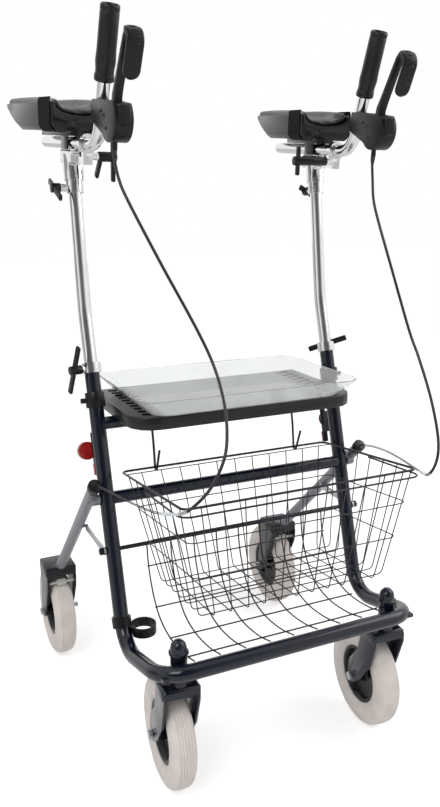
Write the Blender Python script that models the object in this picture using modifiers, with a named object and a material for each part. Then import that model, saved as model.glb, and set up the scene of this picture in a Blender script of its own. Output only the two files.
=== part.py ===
"""Forearm rollator: a four-wheeled walking frame with forearm supports, a seat, a clear tray and a basket.

Metres, +Z up. The walker faces -Y. "right" and "left" are the walker's own right (-X) and left (+X).
The origin is on the floor, under the middle of the whole frame.
Y = 0 of the measured lengths is the line through both caster stems. Heights named RISE are above the
tops of the wheels, so larger wheels lift the whole frame.
"""

import math

import bmesh
import bpy
from mathutils import Matrix, Vector

# Clearances
GAP = 0.0003
RUNNING_GAP = 0.0005

# Wheels
WHEEL_RADIUS = 0.100
WHEEL_SIDES = 20
TYRE_HALF_WIDTH = 0.0232
RIM_RADIUS = 0.056
RIM_HALF_WIDTH = 0.0165
HUB_RADIUS = 0.014
HUB_HALF_LENGTH = 0.0280
WEB_HALF_THICKNESS = 0.004
AXLE_RADIUS = 0.0060
NUT_RADIUS = 0.0085
NUT_THICKNESS = 0.0060

# Forks
FORK_PLATE = 0.0040
FORK_INNER = HUB_HALF_LENGTH + GAP
FORK_OUTER = FORK_INNER + FORK_PLATE
CROWN_HALF_WIDTH = FORK_OUTER + 0.0020
CROWN_RISE = 0.0080
CASTER_TRAIL = 0.0610
CASTER_HEADING = 3.3

# Main frame
FRAME_HALF_WIDTH = 0.2536
POST_RADIUS = 0.0122
POST_CLEARANCE = 0.0007
FRAME_WALL = 0.0011
BORE_RADIUS = POST_RADIUS + POST_CLEARANCE
FRAME_TUBE_RADIUS = BORE_RADIUS + FRAME_WALL
MAIN_SLOPE = 0.2861
MAIN_Y = 0.2284
MAIN_RISE = 0.2500
MAIN_TOP_RISE = 0.5110
BORE_BOTTOM_RISE = 0.2300
KNEE_RISE = 0.0182
KNEE_BEND = 0.0580
FRONT_TUBE_Y = -0.0287
FRONT_TUBE_RISE = 0.0686
FRONT_TOE_IN = 0.0032
FRONT_BEND = 0.0530

# Caster sockets
CASTER_INSET = 0.0430
CASTER_Y = 0.0023
SOCKET_RADIUS = 0.0145
SOCKET_BORE = 0.0075
STEM_RADIUS = 0.0070
SOCKET_BOTTOM_RISE = 0.0315
SOCKET_TOP_RISE = 0.0880

# Crossbars
CROSSBAR_RADIUS = 0.0120
UPPER_BAR_RISE = 0.4200
MIDDLE_BAR_RISE = 0.2870
ROD_RADIUS = 0.0040
ROD_RISE = 0.1960
ROD_END_OFFSET = 0.0265
ROD_NUT_RADIUS = 0.0075

# Posts
POST_BOTTOM_RISE = 0.3300
POST_BEND_RISE = 0.6180
POST_BEND = 0.2400
POST_TOP_SLOPE = 0.1275
ARM_RISE = 0.9195
POST_TOP_DROP = 0.0360
COLLAR_RADIUS = 0.0178
COLLAR_LENGTH = 0.0180

# Knobs
KNOB_HUB = 0.0085
BLADE_WIDTH = 0.0115
BLADE_THICKNESS = 0.0065
HEAD_BOSS_END = 0.0265
CLAMP_SHAFT_END = 0.0200
COLLAR_AXES = {-1: (-0.966, -0.259, 0), 1: (0.6, 0.8, 0)}
COLLAR_BOSS_ENDS = {-1: 0.0215, 1: 0.0280}

# Forearm units, in a frame on the arm tube above the post
ARM_TILT = 4.65
ARM_TOE_IN = 2.6
ARM_TUBE_RADIUS = 0.0110
ARM_REAR = 0.1580
ARM_FRONT = -0.1465
ARM_BEND = 0.0450
GRIP_LEAN = 0.3128
GRIP_BOTTOM = 0.0952
GRIP_LENGTH = 0.1056
GRIP_RADIUS = 0.0158
CLAMP_Y = -0.0865
HEAD_KNOB_DROP = 0.0790
CLAMP_DROP = 0.0207
HOUSING_HALF_WIDTH = 0.0150
HOUSING_Y = -0.2335
HOUSING_Z = 0.0370
HOUSING_RADIUS = 0.0330
LEVER_THICKNESS = 0.0140
LEVER_PIVOT = (-0.2330, 0.0560)
LEVER_EYE = 0.0105
LEVER_SLOT = (-0.2530, -0.2200)
LEVER_FOLD = (-0.2925, 0.1425)
FOLD_RADIUS = 0.0165
PADDLE_WIDTH = 0.0270
PADDLE_THICKNESS = 0.0080

# Forearm pads
PAD_HALF_WIDTH = 0.0530
PAD_FRONT = -0.0500
PAD_REAR = 0.2050
PAD_YAW = 4.0
PAD_THICKNESS = 0.0125
PAD_GAP = 0.0015
PAD_RIM = (0.0745, 0.0800)
SHELL_WALL = 0.0040
SHELL_BOTTOM = 0.0195
SHELL_RIM = 0.0660
SHELL_FLOOR = ((-0.0520, 0.0455), (0.0750, 0.0360), (0.2100, 0.0425))
SHELL_LIFT_Y = 0.1300
SHELL_LIFT = (0.0160, 0.0310)

# Rear legs
LEG_OFFSET = FRAME_TUBE_RADIUS + 0.0155
LEG_RADIUS = 0.0110
LEG_SLOPE = -0.9353
LEG_END_Y = 0.2108
LEG_END_RISE = 0.3259
LEG_TOP_Y = 0.2150
LEG_BOTTOM_Y = 0.5350
REAR_AXLE_Y = 0.5837
REAR_AXLE_EXTRA = 0.0090
STRUT_THICKNESS = 0.0030
STRUT_WIDTH = 0.0130
CATCH_RADIUS = 0.0030
CATCH_POINT = (0.3290, 0.2020)

# Brake shoes
SHOE_GAP = 0.0015
SHOE_SIZE = 0.0120
SHOE_WIDTH = 0.0200
SHOE_ANGLE = 31.5

# Seat and tray
SEAT_CLAMP_RISE = 0.4630
SEAT_INSET = 0.0256
SEAT_FRONT = 0.1450
SEAT_REAR = 0.3950
SEAT_THICKNESS = 0.0240
SEAT_ROLL = 0.0130
SEAT_CORNER = 0.0500
TRAY_FRONT = 0.1200
TRAY_REAR = 0.4050
TRAY_HALF_WIDTH = 0.2200
TRAY_FLARE = 0.0300
TRAY_HEIGHT = 0.0310
TRAY_WALL = 0.0025

# Reflectors
REFLECTOR_RISE = 0.3560
REFLECTOR_REACH = 0.0450
REFLECTOR_RADIUS = 0.0165
REFLECTOR_OUT = 0.0140

# Basket, each place as distance from the side, Y and rise
BASKET_RIM_INSET = 0.0336
BASKET_REAR_RIM = (0.2522, 0.3293)
BASKET_FRONT_RIM = (-0.0510, 0.3635)
BASKET_REAR_WALL_Y = 0.2235
BASKET_BOTTOM_INSET = 0.0720
BASKET_REAR_BOTTOM = (0.1650, 0.1380)
BASKET_FRONT_BOTTOM = (-0.0260, 0.1569)
BASKET_WALL = 0.0025
BASKET_WIRE = 0.0030
HOOK_WIRE = 0.0025
HOOK_X = 0.1515
HANDLE_WIRE = 0.0020
BASKET_EYE_Y = 0.1000

# Cane holder, with its ring's centre measured from the tube inside its clip
CANE_OFFSET = (0.0360, -0.0120, -0.0040)
CANE_RING = 0.0240
CANE_HEIGHT = 0.0180

# Front grille
GRILLE_WIRE = 0.0020
GRILLE_HALF_WIDTH = 0.1900
GRILLE_WIRES = 9
GRILLE_CROSSINGS = (0, 1, 3, 4)

# Brake cables, each with its own route in front of the basket, on a frame of the half width given here
CABLE_RADIUS = 0.0025
CABLE_STEP = 0.0240
GLAND_Y = -0.2226
GLAND_Z = -0.0055
PLUG_LENGTH = 0.0060
CABLE_HALF_WIDTH = 0.2536
CABLE_ROUTES = {
    -1: (
        (-0.2460, 0.1280, 0.8510),
        (-0.2387, 0.1100, 0.8189),
        (-0.2028, 0.0700, 0.7261),
        (-0.1589, 0.0300, 0.6229),
        (-0.1424, 0.0000, 0.5647),
        (-0.1446, -0.0400, 0.5144),
        (-0.1554, -0.0700, 0.4715),
        (-0.1687, -0.0840, 0.4411),
        (-0.1901, -0.0880, 0.4072),
        (-0.2118, -0.0840, 0.3838),
        (-0.2290, -0.0700, 0.3670),
        (-0.2442, -0.0157, 0.3497),
        (-0.2523, 0.0306, 0.3417),
        (-0.2610, 0.0799, 0.3371),
        (-0.2710, 0.1366, 0.3337),
        (-0.2792, 0.1833, 0.3306),
    ),
    1: (
        (0.2316, 0.1330, 0.8528),
        (0.2246, 0.1180, 0.8190),
        (0.2255, 0.1030, 0.7834),
        (0.2310, 0.0700, 0.7110),
        (0.2500, 0.0300, 0.5940),
        (0.2500, 0.0000, 0.5510),
        (0.2490, -0.0400, 0.4860),
        (0.2450, -0.0700, 0.4230),
        (0.2366, -0.0800, 0.3853),
        (0.2330, -0.0660, 0.3570),
        (0.2385, -0.0352, 0.3527),
        (0.2504, 0.0294, 0.3526),
        (0.2612, 0.0874, 0.3498),
        (0.2713, 0.1424, 0.3423),
        (0.2795, 0.1860, 0.3325),
    ),
}

# Placement of the whole object
SEAT_TOP_RISE = UPPER_BAR_RISE + CROSSBAR_RADIUS + GAP + SEAT_THICKNESS
WHEEL_TOP = 2 * WHEEL_RADIUS
CABLE_FRONT_Y = -0.0880
ORIGIN_Y = (CABLE_FRONT_Y - CABLE_RADIUS + REAR_AXLE_Y + WHEEL_RADIUS) / 2
SIDES = (("right", -1), ("left", 1))
X_AXIS = Vector((1, 0, 0))
Y_AXIS = Vector((0, 1, 0))
Z_AXIS = Vector((0, 0, 1))


# Scene
def clear_scene():
    for obj in list(bpy.data.objects):
        bpy.data.objects.remove(obj, do_unlink=True)


def new_collection(name):
    collection = bpy.data.collections.new(name)
    bpy.context.scene.collection.children.link(collection)
    return collection


clear_scene()
PARTS = new_collection("forearm_rollator")
CUTTERS = new_collection("cutters")


def material(name, colour, roughness, metallic=0.0, alpha=1.0):
    found = bpy.data.materials.get(name)
    if found:
        return found
    made = bpy.data.materials.new(name)
    made.use_nodes = True
    shader = made.node_tree.nodes["Principled BSDF"]
    shader.inputs["Base Color"].default_value = (*colour, 1)
    shader.inputs["Roughness"].default_value = roughness
    shader.inputs["Metallic"].default_value = metallic
    shader.inputs["Alpha"].default_value = alpha
    made.diffuse_color = (*colour, alpha)
    return made


def painted_steel():
    return material("navy_paint", (0.008, 0.012, 0.035), 0.25)


def chrome():
    return material("chrome", (0.78, 0.78, 0.80), 0.12, 1.0)


def zinc_steel():
    return material("zinc_steel", (0.55, 0.56, 0.58), 0.35, 1.0)


def leg_enamel():
    return material("silver_grey_enamel", (0.23, 0.24, 0.26), 0.35, 0.4)


def black_plastic():
    return material("black_plastic", (0.012, 0.012, 0.013), 0.45)


def black_wire():
    return material("dark_wire", (0.02, 0.022, 0.03), 0.35, 0.3)


def grey_rubber():
    return material("grey_rubber", (0.62, 0.57, 0.54), 0.6)


def black_foam():
    return material("black_foam", (0.010, 0.010, 0.011), 0.6)


def shell_plastic():
    return material("dark_grey_plastic", (0.06, 0.06, 0.07), 0.35)


def clear_plastic():
    return material("clear_plastic", (0.9, 0.93, 0.93), 0.05, 0.0, 0.35)


def red_reflector():
    return material("red_reflector", (0.45, 0.01, 0.01), 0.2)


def link(obj, collection=None):
    (collection or PARTS).objects.link(obj)
    return obj


def mesh_object(name, mesh):
    return link(bpy.data.objects.new(name, mesh))


def shade(mesh, angle=35):
    mesh.shade_smooth()
    mesh.set_sharp_from_angle(angle=math.radians(angle))


def solid_from(obj, matrix=None):
    """The evaluated object as one welded mesh object, moved by matrix. The source object is removed."""
    bpy.context.view_layer.update()
    graph = bpy.context.evaluated_depsgraph_get()
    mesh = bpy.data.meshes.new_from_object(obj.evaluated_get(graph))
    name = obj.name
    where = obj.matrix_world.copy()
    bpy.data.objects.remove(obj, do_unlink=True)
    work = bmesh.new()
    work.from_mesh(mesh)
    bmesh.ops.remove_doubles(work, verts=work.verts, dist=0.00001)
    bmesh.ops.recalc_face_normals(work, faces=work.faces)
    work.to_mesh(mesh)
    work.free()
    if matrix is not None:
        mesh.transform(matrix)
    shade(mesh)
    made = mesh_object(name, mesh)
    made.matrix_world = where
    return made


# Shapes
def tube(name, points, radius, resolution=4, closed=False):
    """A round bar along points. It has 4 + 2 * resolution sides."""
    curve = bpy.data.curves.new(name, "CURVE")
    curve.dimensions = "3D"
    curve.bevel_depth = radius
    curve.bevel_resolution = resolution
    curve.use_fill_caps = not closed
    spline = curve.splines.new("POLY")
    spline.points.add(len(points) - 1)
    for target, point in zip(spline.points, points):
        target.co = (*point, 1)
    spline.use_cyclic_u = closed
    return solid_from(link(bpy.data.objects.new(name, curve)))


def plate(name, outline, thickness, middle=0.0):
    """A flat piece in the Y-Z plane, with its outline as (y, z) points and its middle at x."""
    curve = bpy.data.curves.new(name, "CURVE")
    curve.dimensions = "2D"
    curve.fill_mode = "BOTH"
    curve.extrude = thickness / 2
    spline = curve.splines.new("POLY")
    spline.points.add(len(outline) - 1)
    for target, point in zip(spline.points, outline):
        target.co = (point[0], point[1], 0, 1)
    spline.use_cyclic_u = True
    upright = Matrix(((0, 0, 1, middle), (1, 0, 0, 0), (0, 1, 0, 0), (0, 0, 0, 1)))
    return solid_from(link(bpy.data.objects.new(name, curve)), upright)


def turned(name, profile, sides, matrix=None, ring=False):
    """A profile of (radius, height) points, from top to bottom on its outer side, turned about Z."""
    work = bmesh.new()
    corners = [work.verts.new((radius, 0, height)) for radius, height in profile]
    for first, second in zip(corners, corners[1:]):
        work.edges.new((first, second))
    if ring:
        work.edges.new((corners[-1], corners[0]))
    mesh = bpy.data.meshes.new(name)
    work.to_mesh(mesh)
    work.free()
    obj = mesh_object(name, mesh)
    screw = obj.modifiers.new("turn", "SCREW")
    screw.steps = sides
    screw.render_steps = sides
    screw.use_merge_vertices = True
    screw.merge_threshold = 0.0001
    screw.use_smooth_shade = True
    return solid_from(obj, matrix)


def cylinder(name, start, end, radius, sides=16):
    start = Vector(start)
    end = Vector(end)
    work = bmesh.new()
    bmesh.ops.create_cone(
        work, cap_ends=True, segments=sides, radius1=radius, radius2=radius, depth=(end - start).length
    )
    mesh = bpy.data.meshes.new(name)
    work.to_mesh(mesh)
    work.free()
    turn = (end - start).to_track_quat("Z", "Y").to_matrix().to_4x4()
    mesh.transform(Matrix.Translation((start + end) / 2) @ turn)
    shade(mesh)
    return mesh_object(name, mesh)


def round_hole(radius, sides=16):
    """The radius of a hole whose flat sides all clear a round piece by the gap."""
    return (radius + GAP) / math.cos(math.pi / sides)


def box(name, low, high, rounding=0.0, matrix=None, segments=2):
    low = Vector(low)
    high = Vector(high)
    work = bmesh.new()
    bmesh.ops.create_cube(work, size=1)
    bmesh.ops.scale(work, vec=high - low, verts=work.verts)
    bmesh.ops.translate(work, vec=(low + high) / 2, verts=work.verts)
    mesh = bpy.data.meshes.new(name)
    work.to_mesh(mesh)
    work.free()
    obj = mesh_object(name, mesh)
    if rounding:
        bevel = obj.modifiers.new("round", "BEVEL")
        bevel.width = rounding
        bevel.segments = segments
        obj = solid_from(obj)
    if matrix is not None:
        obj.data.transform(matrix)
    return obj


def helper(obj):
    PARTS.objects.unlink(obj)
    link(obj, CUTTERS)
    obj.hide_render = True
    obj.display_type = "WIRE"
    return obj


def combine(obj, others, operation):
    """Joins or cuts with helpers, applies it and drops the helpers."""
    for other in others:
        modifier = obj.modifiers.new(operation.lower(), "BOOLEAN")
        modifier.operation = operation
        modifier.solver = "EXACT"
        modifier.object = helper(other)
    made = solid_from(obj)
    for other in others:
        bpy.data.objects.remove(other, do_unlink=True)
    return made


def join(obj, *others):
    return combine(obj, others, "UNION")


def cut(obj, *others):
    return combine(obj, others, "DIFFERENCE")


# Geometry
def fillet(points, radii, steps=7):
    """The route through points, with the corners between the ends rounded to radii."""
    points = [Vector(point) for point in points]
    route = [points[0]]
    for index, radius in enumerate(radii, 1):
        before, corner, after = points[index - 1 : index + 2]
        back = (before - corner).normalized()
        ahead = (after - corner).normalized()
        half = back.angle(ahead) / 2
        centre = corner + (back + ahead).normalized() * radius / math.sin(half)
        first = corner + back * radius / math.tan(half) - centre
        last = corner + ahead * radius / math.tan(half) - centre
        sweep = math.pi - 2 * half
        for step in range(steps + 1):
            share = step / steps
            blend = first * math.sin((1 - share) * sweep) + last * math.sin(share * sweep)
            route.append(centre + blend / math.sin(sweep))
    route.append(points[-1])
    return route


def arc(centre, radius, start, end, steps):
    """Points on an arc in a plane, angles in degrees."""
    found = []
    for step in range(steps + 1):
        angle = math.radians(start + (end - start) * step / steps)
        found.append((centre[0] + radius * math.cos(angle), centre[1] + radius * math.sin(angle)))
    return found


def ribbon(points, half_widths):
    """The outline of a strip of changing width along points of a plane."""
    ahead = []
    back = []
    for index, (point, half) in enumerate(zip(points, half_widths)):
        first = Vector(points[max(index - 1, 0)])
        last = Vector(points[min(index + 1, len(points) - 1)])
        along = (last - first).normalized()
        across = Vector((-along.y, along.x)) * half
        ahead.append(tuple(Vector(point) + across))
        back.append(tuple(Vector(point) - across))
    return ahead + back[::-1]


def smooth_route(points, spacing):
    """Points about one spacing apart on a smooth curve through the route's points."""
    points = [Vector(point) for point in points]
    ends = [2 * points[0] - points[1]] + points + [2 * points[-1] - points[-2]]
    found = [points[0]]
    for index in range(1, len(ends) - 2):
        p0, p1, p2, p3 = ends[index - 1 : index + 3]
        count = max(1, round((p2 - p1).length / spacing))
        for step in range(1, count + 1):
            t = step / count
            found.append(
                0.5 * (2 * p1 + (p2 - p0) * t + (2 * p0 - 5 * p1 + 4 * p2 - p3) * t**2
                       + (3 * p1 - p0 - 3 * p2 + p3) * t**3)
            )
    return found


def main_y(rise):
    return MAIN_Y + MAIN_SLOPE * (rise - MAIN_RISE)


def post_y(rise):
    """Y of the upper post's centre line."""
    return main_y(POST_BEND_RISE) + POST_TOP_SLOPE * (rise - POST_BEND_RISE)


def leg_rise(y):
    return LEG_END_RISE + LEG_SLOPE * (y - LEG_END_Y)


def turn_about(angle, axis):
    return Matrix.Rotation(math.radians(angle), 4, axis)


MAIN_DIRECTION = Vector((0, MAIN_SLOPE, 1)).normalized()
POST_DIRECTION = Vector((0, POST_TOP_SLOPE, 1)).normalized()
LEG_DIRECTION = Vector((0, 1, LEG_SLOPE)).normalized()
CHASSIS = Matrix.Translation((0, -ORIGIN_Y, WHEEL_TOP))
LEG_X = FRAME_HALF_WIDTH + LEG_OFFSET
CASTER_X = FRAME_HALF_WIDTH - CASTER_INSET


def pivot(name, matrix, parent=None):
    """An empty at a joint."""
    empty = link(bpy.data.objects.new(name, None))
    empty.empty_display_size = 0.03
    if parent:
        empty.parent = parent
        empty.matrix_parent_inverse = parent.matrix_world.inverted()
    empty.matrix_basis = matrix
    bpy.context.view_layer.update()
    return empty


def place(obj, frame, parent, look):
    """Puts a piece, modelled in the frame's own lengths, under its joint."""
    obj.parent = parent
    obj.matrix_parent_inverse = parent.matrix_world.inverted()
    obj.matrix_basis = frame
    obj.data.materials.clear()
    obj.data.materials.append(look)
    return obj


# Knobs as hub length, then (offset, bearing, reach) of each blade round the knob's axis
COLLAR_KNOBS = {
    -1: (0.0220, ((0.0140, -23, 0.0500), (0.0140, 157, 0.0500))),
    1: (0.0180, ((0.0120, 70, 0.0420), (0.0120, 250, 0.0420))),
}
HEAD_KNOBS = {
    -1: (0.0170, ((0.0110, 61, 0.0340), (0.0110, 241, 0.0500))),
    1: (0.0160, ((0.0100, -60, 0.0190), (0.0100, 120, 0.0190))),
}
CLAMP_KNOBS = {
    -1: (0.0320, ((0.0267, 180, 0.0420), (0.0267, 0, 0.0300), (0.0050, 217, 0.0440))),
    1: (0.0700, ((0.0610, 180, 0.0270), (0.0610, 0, 0.0270))),
}


# Wheels
def tyre(name):
    inner = RIM_RADIUS + GAP
    half = [
        (WHEEL_RADIUS, 0.000),
        (WHEEL_RADIUS - 0.0025, 0.0120),
        (WHEEL_RADIUS - 0.0150, TYRE_HALF_WIDTH - 0.0010),
        (WHEEL_RADIUS - 0.0300, TYRE_HALF_WIDTH),
        (inner, RIM_HALF_WIDTH),
    ]
    profile = [(radius, height) for radius, height in half[::-1]]
    profile += [(radius, -height) for radius, height in half[1:]]
    return turned(name, profile, WHEEL_SIDES, turn_about(90, "Y"), ring=True)


def rim(name):
    bore = AXLE_RADIUS + GAP
    lip = RIM_RADIUS - 0.0060
    half = [
        (bore, HUB_HALF_LENGTH),
        (HUB_RADIUS, HUB_HALF_LENGTH),
        (HUB_RADIUS + 0.0020, WEB_HALF_THICKNESS),
        (lip, RIM_HALF_WIDTH),
        (RIM_RADIUS, RIM_HALF_WIDTH),
    ]
    profile = half + [(radius, -height) for radius, height in half[::-1]]
    return turned(name, profile, WHEEL_SIDES, turn_about(90, "Y"), ring=True)


def axle(name, side, extra):
    """A bolt with a nut at each end, longer by extra on its inner side."""
    outside = FORK_OUTER + GAP
    half = [
        (0, outside + NUT_THICKNESS),
        (NUT_RADIUS, outside + NUT_THICKNESS),
        (NUT_RADIUS, outside),
        (AXLE_RADIUS - RUNNING_GAP, outside),
    ]
    inner = [(0, half[0][1] + extra), (AXLE_RADIUS - RUNNING_GAP, half[0][1] + extra)]
    inner += [(AXLE_RADIUS - RUNNING_GAP, half[0][1]), *half[1:]]
    profile = (inner if extra else half) + [(radius, -height) for radius, height in half[::-1]]
    return turned(name, profile, 12, turn_about(-90 * side, "Y"))


def fork_arms(name, outline, axle_point):
    """Two plates joined by the axle line's holes, ready to join a crown."""
    middle = FORK_INNER + FORK_PLATE / 2
    arms = [plate(f"{name}_arm", outline, FORK_PLATE, middle * side) for side in (-1, 1)]
    bore_end = FORK_OUTER + 0.0050
    start = (-bore_end, *axle_point)
    end = (bore_end, *axle_point)
    return arms, cylinder(f"{name}_axle_bore", start, end, AXLE_RADIUS + GAP, 12)


def caster_fork(name):
    """Crown, arms, stem and domed cap, about the swivel axis."""
    crown_top = SOCKET_BOTTOM_RISE - 0.0004
    axle_point = (CASTER_TRAIL, -WHEEL_RADIUS)
    trail = CASTER_TRAIL
    outline = [
        (-0.017, crown_top - 0.008),
        (-0.017, CROWN_RISE - 0.003),
        (0.003, -0.053),
        (trail - 0.031, -WHEEL_RADIUS + 0.008),
    ]
    outline += arc(axle_point, 0.0135, 210, 360, 6)
    outline += [(trail + 0.009, -0.065), (trail - 0.019, -0.030)]
    outline += [(0.034, 0.005), (0.031, crown_top - 0.008)]
    arms, bore = fork_arms(name, outline, axle_point)
    crown = box(
        name,
        (-CROWN_HALF_WIDTH, -0.017, CROWN_RISE),
        (CROWN_HALF_WIDTH, 0.031, crown_top),
        0.0050,
        segments=1,
    )
    cap = SOCKET_TOP_RISE + RUNNING_GAP
    stem = turned(
        f"{name}_stem",
        [
            (0, cap + 0.0259),
            (0.0070, cap + 0.0240),
            (0.0125, cap + 0.0180),
            (0.0142, cap + 0.0110),
            (0.0142, cap + 0.0050),
            (0.0172, cap + 0.0040),
            (0.0172, cap),
            (STEM_RADIUS, cap),
            (STEM_RADIUS, crown_top - 0.006),
            (0, crown_top - 0.006),
        ],
        14,
    )
    return cut(join(crown, stem, *arms), bore)


def rear_fork_outline(axle_y):
    bottom = arc((axle_y, -WHEEL_RADIUS), 0.0135, 200, 360, 6)
    front = [(axle_y - 0.060, 0.026), (axle_y - 0.066, 0.006)]
    front += [(axle_y - 0.062, -0.020), (axle_y - 0.040, -0.062)]
    rear = [(axle_y + 0.0130, -0.080), (axle_y + 0.004, -0.040)]
    rear += [(axle_y + 0.006, 0.006), (axle_y + 0.002, 0.026)]
    return front + bottom + rear


# Frame pieces
def side_route(side):
    """One main tube from its top, round the knee and along to the middle of the front tube."""
    x = side * FRAME_HALF_WIDTH
    front_x = side * (FRAME_HALF_WIDTH - FRONT_TOE_IN)
    corner_points = [
        (x, main_y(MAIN_TOP_RISE), MAIN_TOP_RISE),
        (x, main_y(KNEE_RISE), KNEE_RISE),
        (front_x, FRONT_TUBE_Y, FRONT_TUBE_RISE),
        (0, FRONT_TUBE_Y, FRONT_TUBE_RISE),
    ]
    return fillet(corner_points, (KNEE_BEND, FRONT_BEND), 6)


def frame_tube():
    route = side_route(-1)[:-1] + side_route(1)[-2::-1]
    body = tube("frame_tube", route, FRAME_TUBE_RADIUS, 5)
    sockets = []
    bores = []
    front_edge = FRAME_HALF_WIDTH - FRONT_TOE_IN
    for _, side in SIDES:
        x = side * CASTER_X
        socket_foot = (x, CASTER_Y, SOCKET_BOTTOM_RISE)
        socket_head = (x, CASTER_Y, SOCKET_TOP_RISE)
        sockets.append(cylinder("socket", socket_foot, socket_head, SOCKET_RADIUS))
        bores.append(
            cylinder(
                "socket_bore",
                (x, CASTER_Y, SOCKET_BOTTOM_RISE - 0.01),
                (x, CASTER_Y, SOCKET_TOP_RISE + 0.01),
                SOCKET_BORE,
            )
        )
        low = (min(x, side * front_edge), FRONT_TUBE_Y, FRONT_TUBE_RISE - 0.0080)
        high = (max(x, side * front_edge), CASTER_Y, FRONT_TUBE_RISE - 0.0020)
        sockets.append(box("gusset", low, high))
        x = side * FRAME_HALF_WIDTH
        top = MAIN_TOP_RISE + 0.02
        start = (x, main_y(BORE_BOTTOM_RISE), BORE_BOTTOM_RISE)
        bores.append(cylinder("post_bore", start, (x, main_y(top), top), BORE_RADIUS))
    reach = FRAME_HALF_WIDTH + 0.03
    rod_y = main_y(ROD_RISE)
    bores.append(
        cylinder("rod_bore", (-reach, rod_y, ROD_RISE), (reach, rod_y, ROD_RISE), ROD_RADIUS + RUNNING_GAP, 8)
    )
    return cut(join(body, *sockets), *bores)


def saddle_cutters(rise):
    """The main tubes with a gap, which end a crossbar in two saddles."""
    cutters = []
    for _, side in SIDES:
        x = side * FRAME_HALF_WIDTH
        low = rise - 0.06
        high = rise + 0.06
        cutters.append(
            cylinder("saddle", (x, main_y(low), low), (x, main_y(high), high), round_hole(FRAME_TUBE_RADIUS))
        )
    return cutters


def crossbar(name, rise):
    half = FRAME_HALF_WIDTH - 0.004
    y = main_y(rise)
    return cylinder(name, (-half, y, rise), (half, y, rise), CROSSBAR_RADIUS)


def upper_crossbar():
    y = main_y(UPPER_BAR_RISE)
    bar = crossbar("upper_crossbar", UPPER_BAR_RISE)
    rim_y, rim_rise = BASKET_REAR_RIM
    reach = BASKET_WIRE + HOOK_WIRE + GAP
    curl = arc((rim_y, rim_rise), reach, 20, -160, 6)
    hooks = []
    for _, side in SIDES:
        x = side * HOOK_X
        route = [(x, y - 0.006, UPPER_BAR_RISE - 0.004), (x, 0.2620, rim_rise + 0.0400)]
        route += [(x, *point) for point in curl]
        route += [(x, 0.2310, rim_rise + 0.0380)]
        hooks.append(tube("hook", route, HOOK_WIRE, 1))
    return cut(join(bar, *hooks), *saddle_cutters(UPPER_BAR_RISE))


def middle_crossbar():
    return cut(crossbar("middle_crossbar", MIDDLE_BAR_RISE), *saddle_cutters(MIDDLE_BAR_RISE))


def cross_rod():
    y = main_y(ROD_RISE)
    end = FRAME_HALF_WIDTH + ROD_END_OFFSET
    nut_start = FRAME_HALF_WIDTH + FRAME_TUBE_RADIUS + 2 * RUNNING_GAP + STRUT_THICKNESS + RUNNING_GAP
    rod = cylinder("cross_rod", (-end, y, ROD_RISE), (end, y, ROD_RISE), ROD_RADIUS, 12)
    nuts = []
    for _, side in SIDES:
        nuts.append(
            cylinder(
                "rod_nut",
                (side * nut_start, y, ROD_RISE),
                (side * (end - 0.001), y, ROD_RISE),
                ROD_NUT_RADIUS,
                6,
            )
        )
    return join(rod, *nuts)


def grille_route():
    """The sling's side profile, from the cross rod to the front tube, as (y, rise) points."""
    reach = ROD_RADIUS + GRILLE_WIRE + 2 * GAP
    rod = (main_y(ROD_RISE) - reach, ROD_RISE)
    angle = math.radians(38)
    hold = FRAME_TUBE_RADIUS + GRILLE_WIRE + GAP
    front = (FRONT_TUBE_Y + hold * math.cos(angle), FRONT_TUBE_RISE + hold * math.sin(angle))
    steep = [(0.2000, 0.1560), (0.1780, 0.1080), (0.1420, 0.0740)]
    return [rod, *steep, (0.0900, 0.0620), (0.0300, 0.0665), front]


def front_grille():
    profile = smooth_route([(0, *point) for point in grille_route()], 0.060)
    wires = []
    for index in range(GRILLE_WIRES):
        x = GRILLE_HALF_WIDTH * (2 * index / (GRILLE_WIRES - 1) - 1)
        wires.append(tube("front_grille", [(x, point.y, point.z) for point in profile], GRILLE_WIRE, 0))
    reach = GRILLE_HALF_WIDTH + 0.0120
    for index in GRILLE_CROSSINGS:
        along = (profile[index + 1] - profile[index]).normalized()
        point = (profile[index] + profile[index + 1]) / 2 + along.cross(X_AXIS) * GRILLE_WIRE * 0.7
        ends = [(-reach, point.y, point.z), (reach, point.y, point.z)]
        wires.append(tube("grille_wire", ends, GRILLE_WIRE, 0))
    return join(wires[0], *wires[1:])


def cane_holder():
    """A cup ring clipped to the right main tube, just above the knee."""
    route = side_route(-1)
    wrap = [route[1] + MAIN_DIRECTION * 0.0040, route[1], route[2]]
    clip = tube("cane_holder", wrap, FRAME_TUBE_RADIUS + 0.0040, 5)
    middle = route[2] + Vector(CANE_OFFSET)
    low = middle - Z_AXIS * CANE_HEIGHT / 2
    high = middle + Z_AXIS * CANE_HEIGHT / 2
    ring = cylinder("ring", low, high, CANE_RING, 20)
    hole = cylinder("ring_hole", low - Z_AXIS * 0.01, high + Z_AXIS * 0.01, CANE_RING - 0.0030, 20)
    bore = tube("clip_bore", [route[1] + MAIN_DIRECTION * 0.03, *route[1:5]], FRAME_TUBE_RADIUS + 2 * GAP, 5)
    return cut(join(clip, ring), hole, bore)


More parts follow.
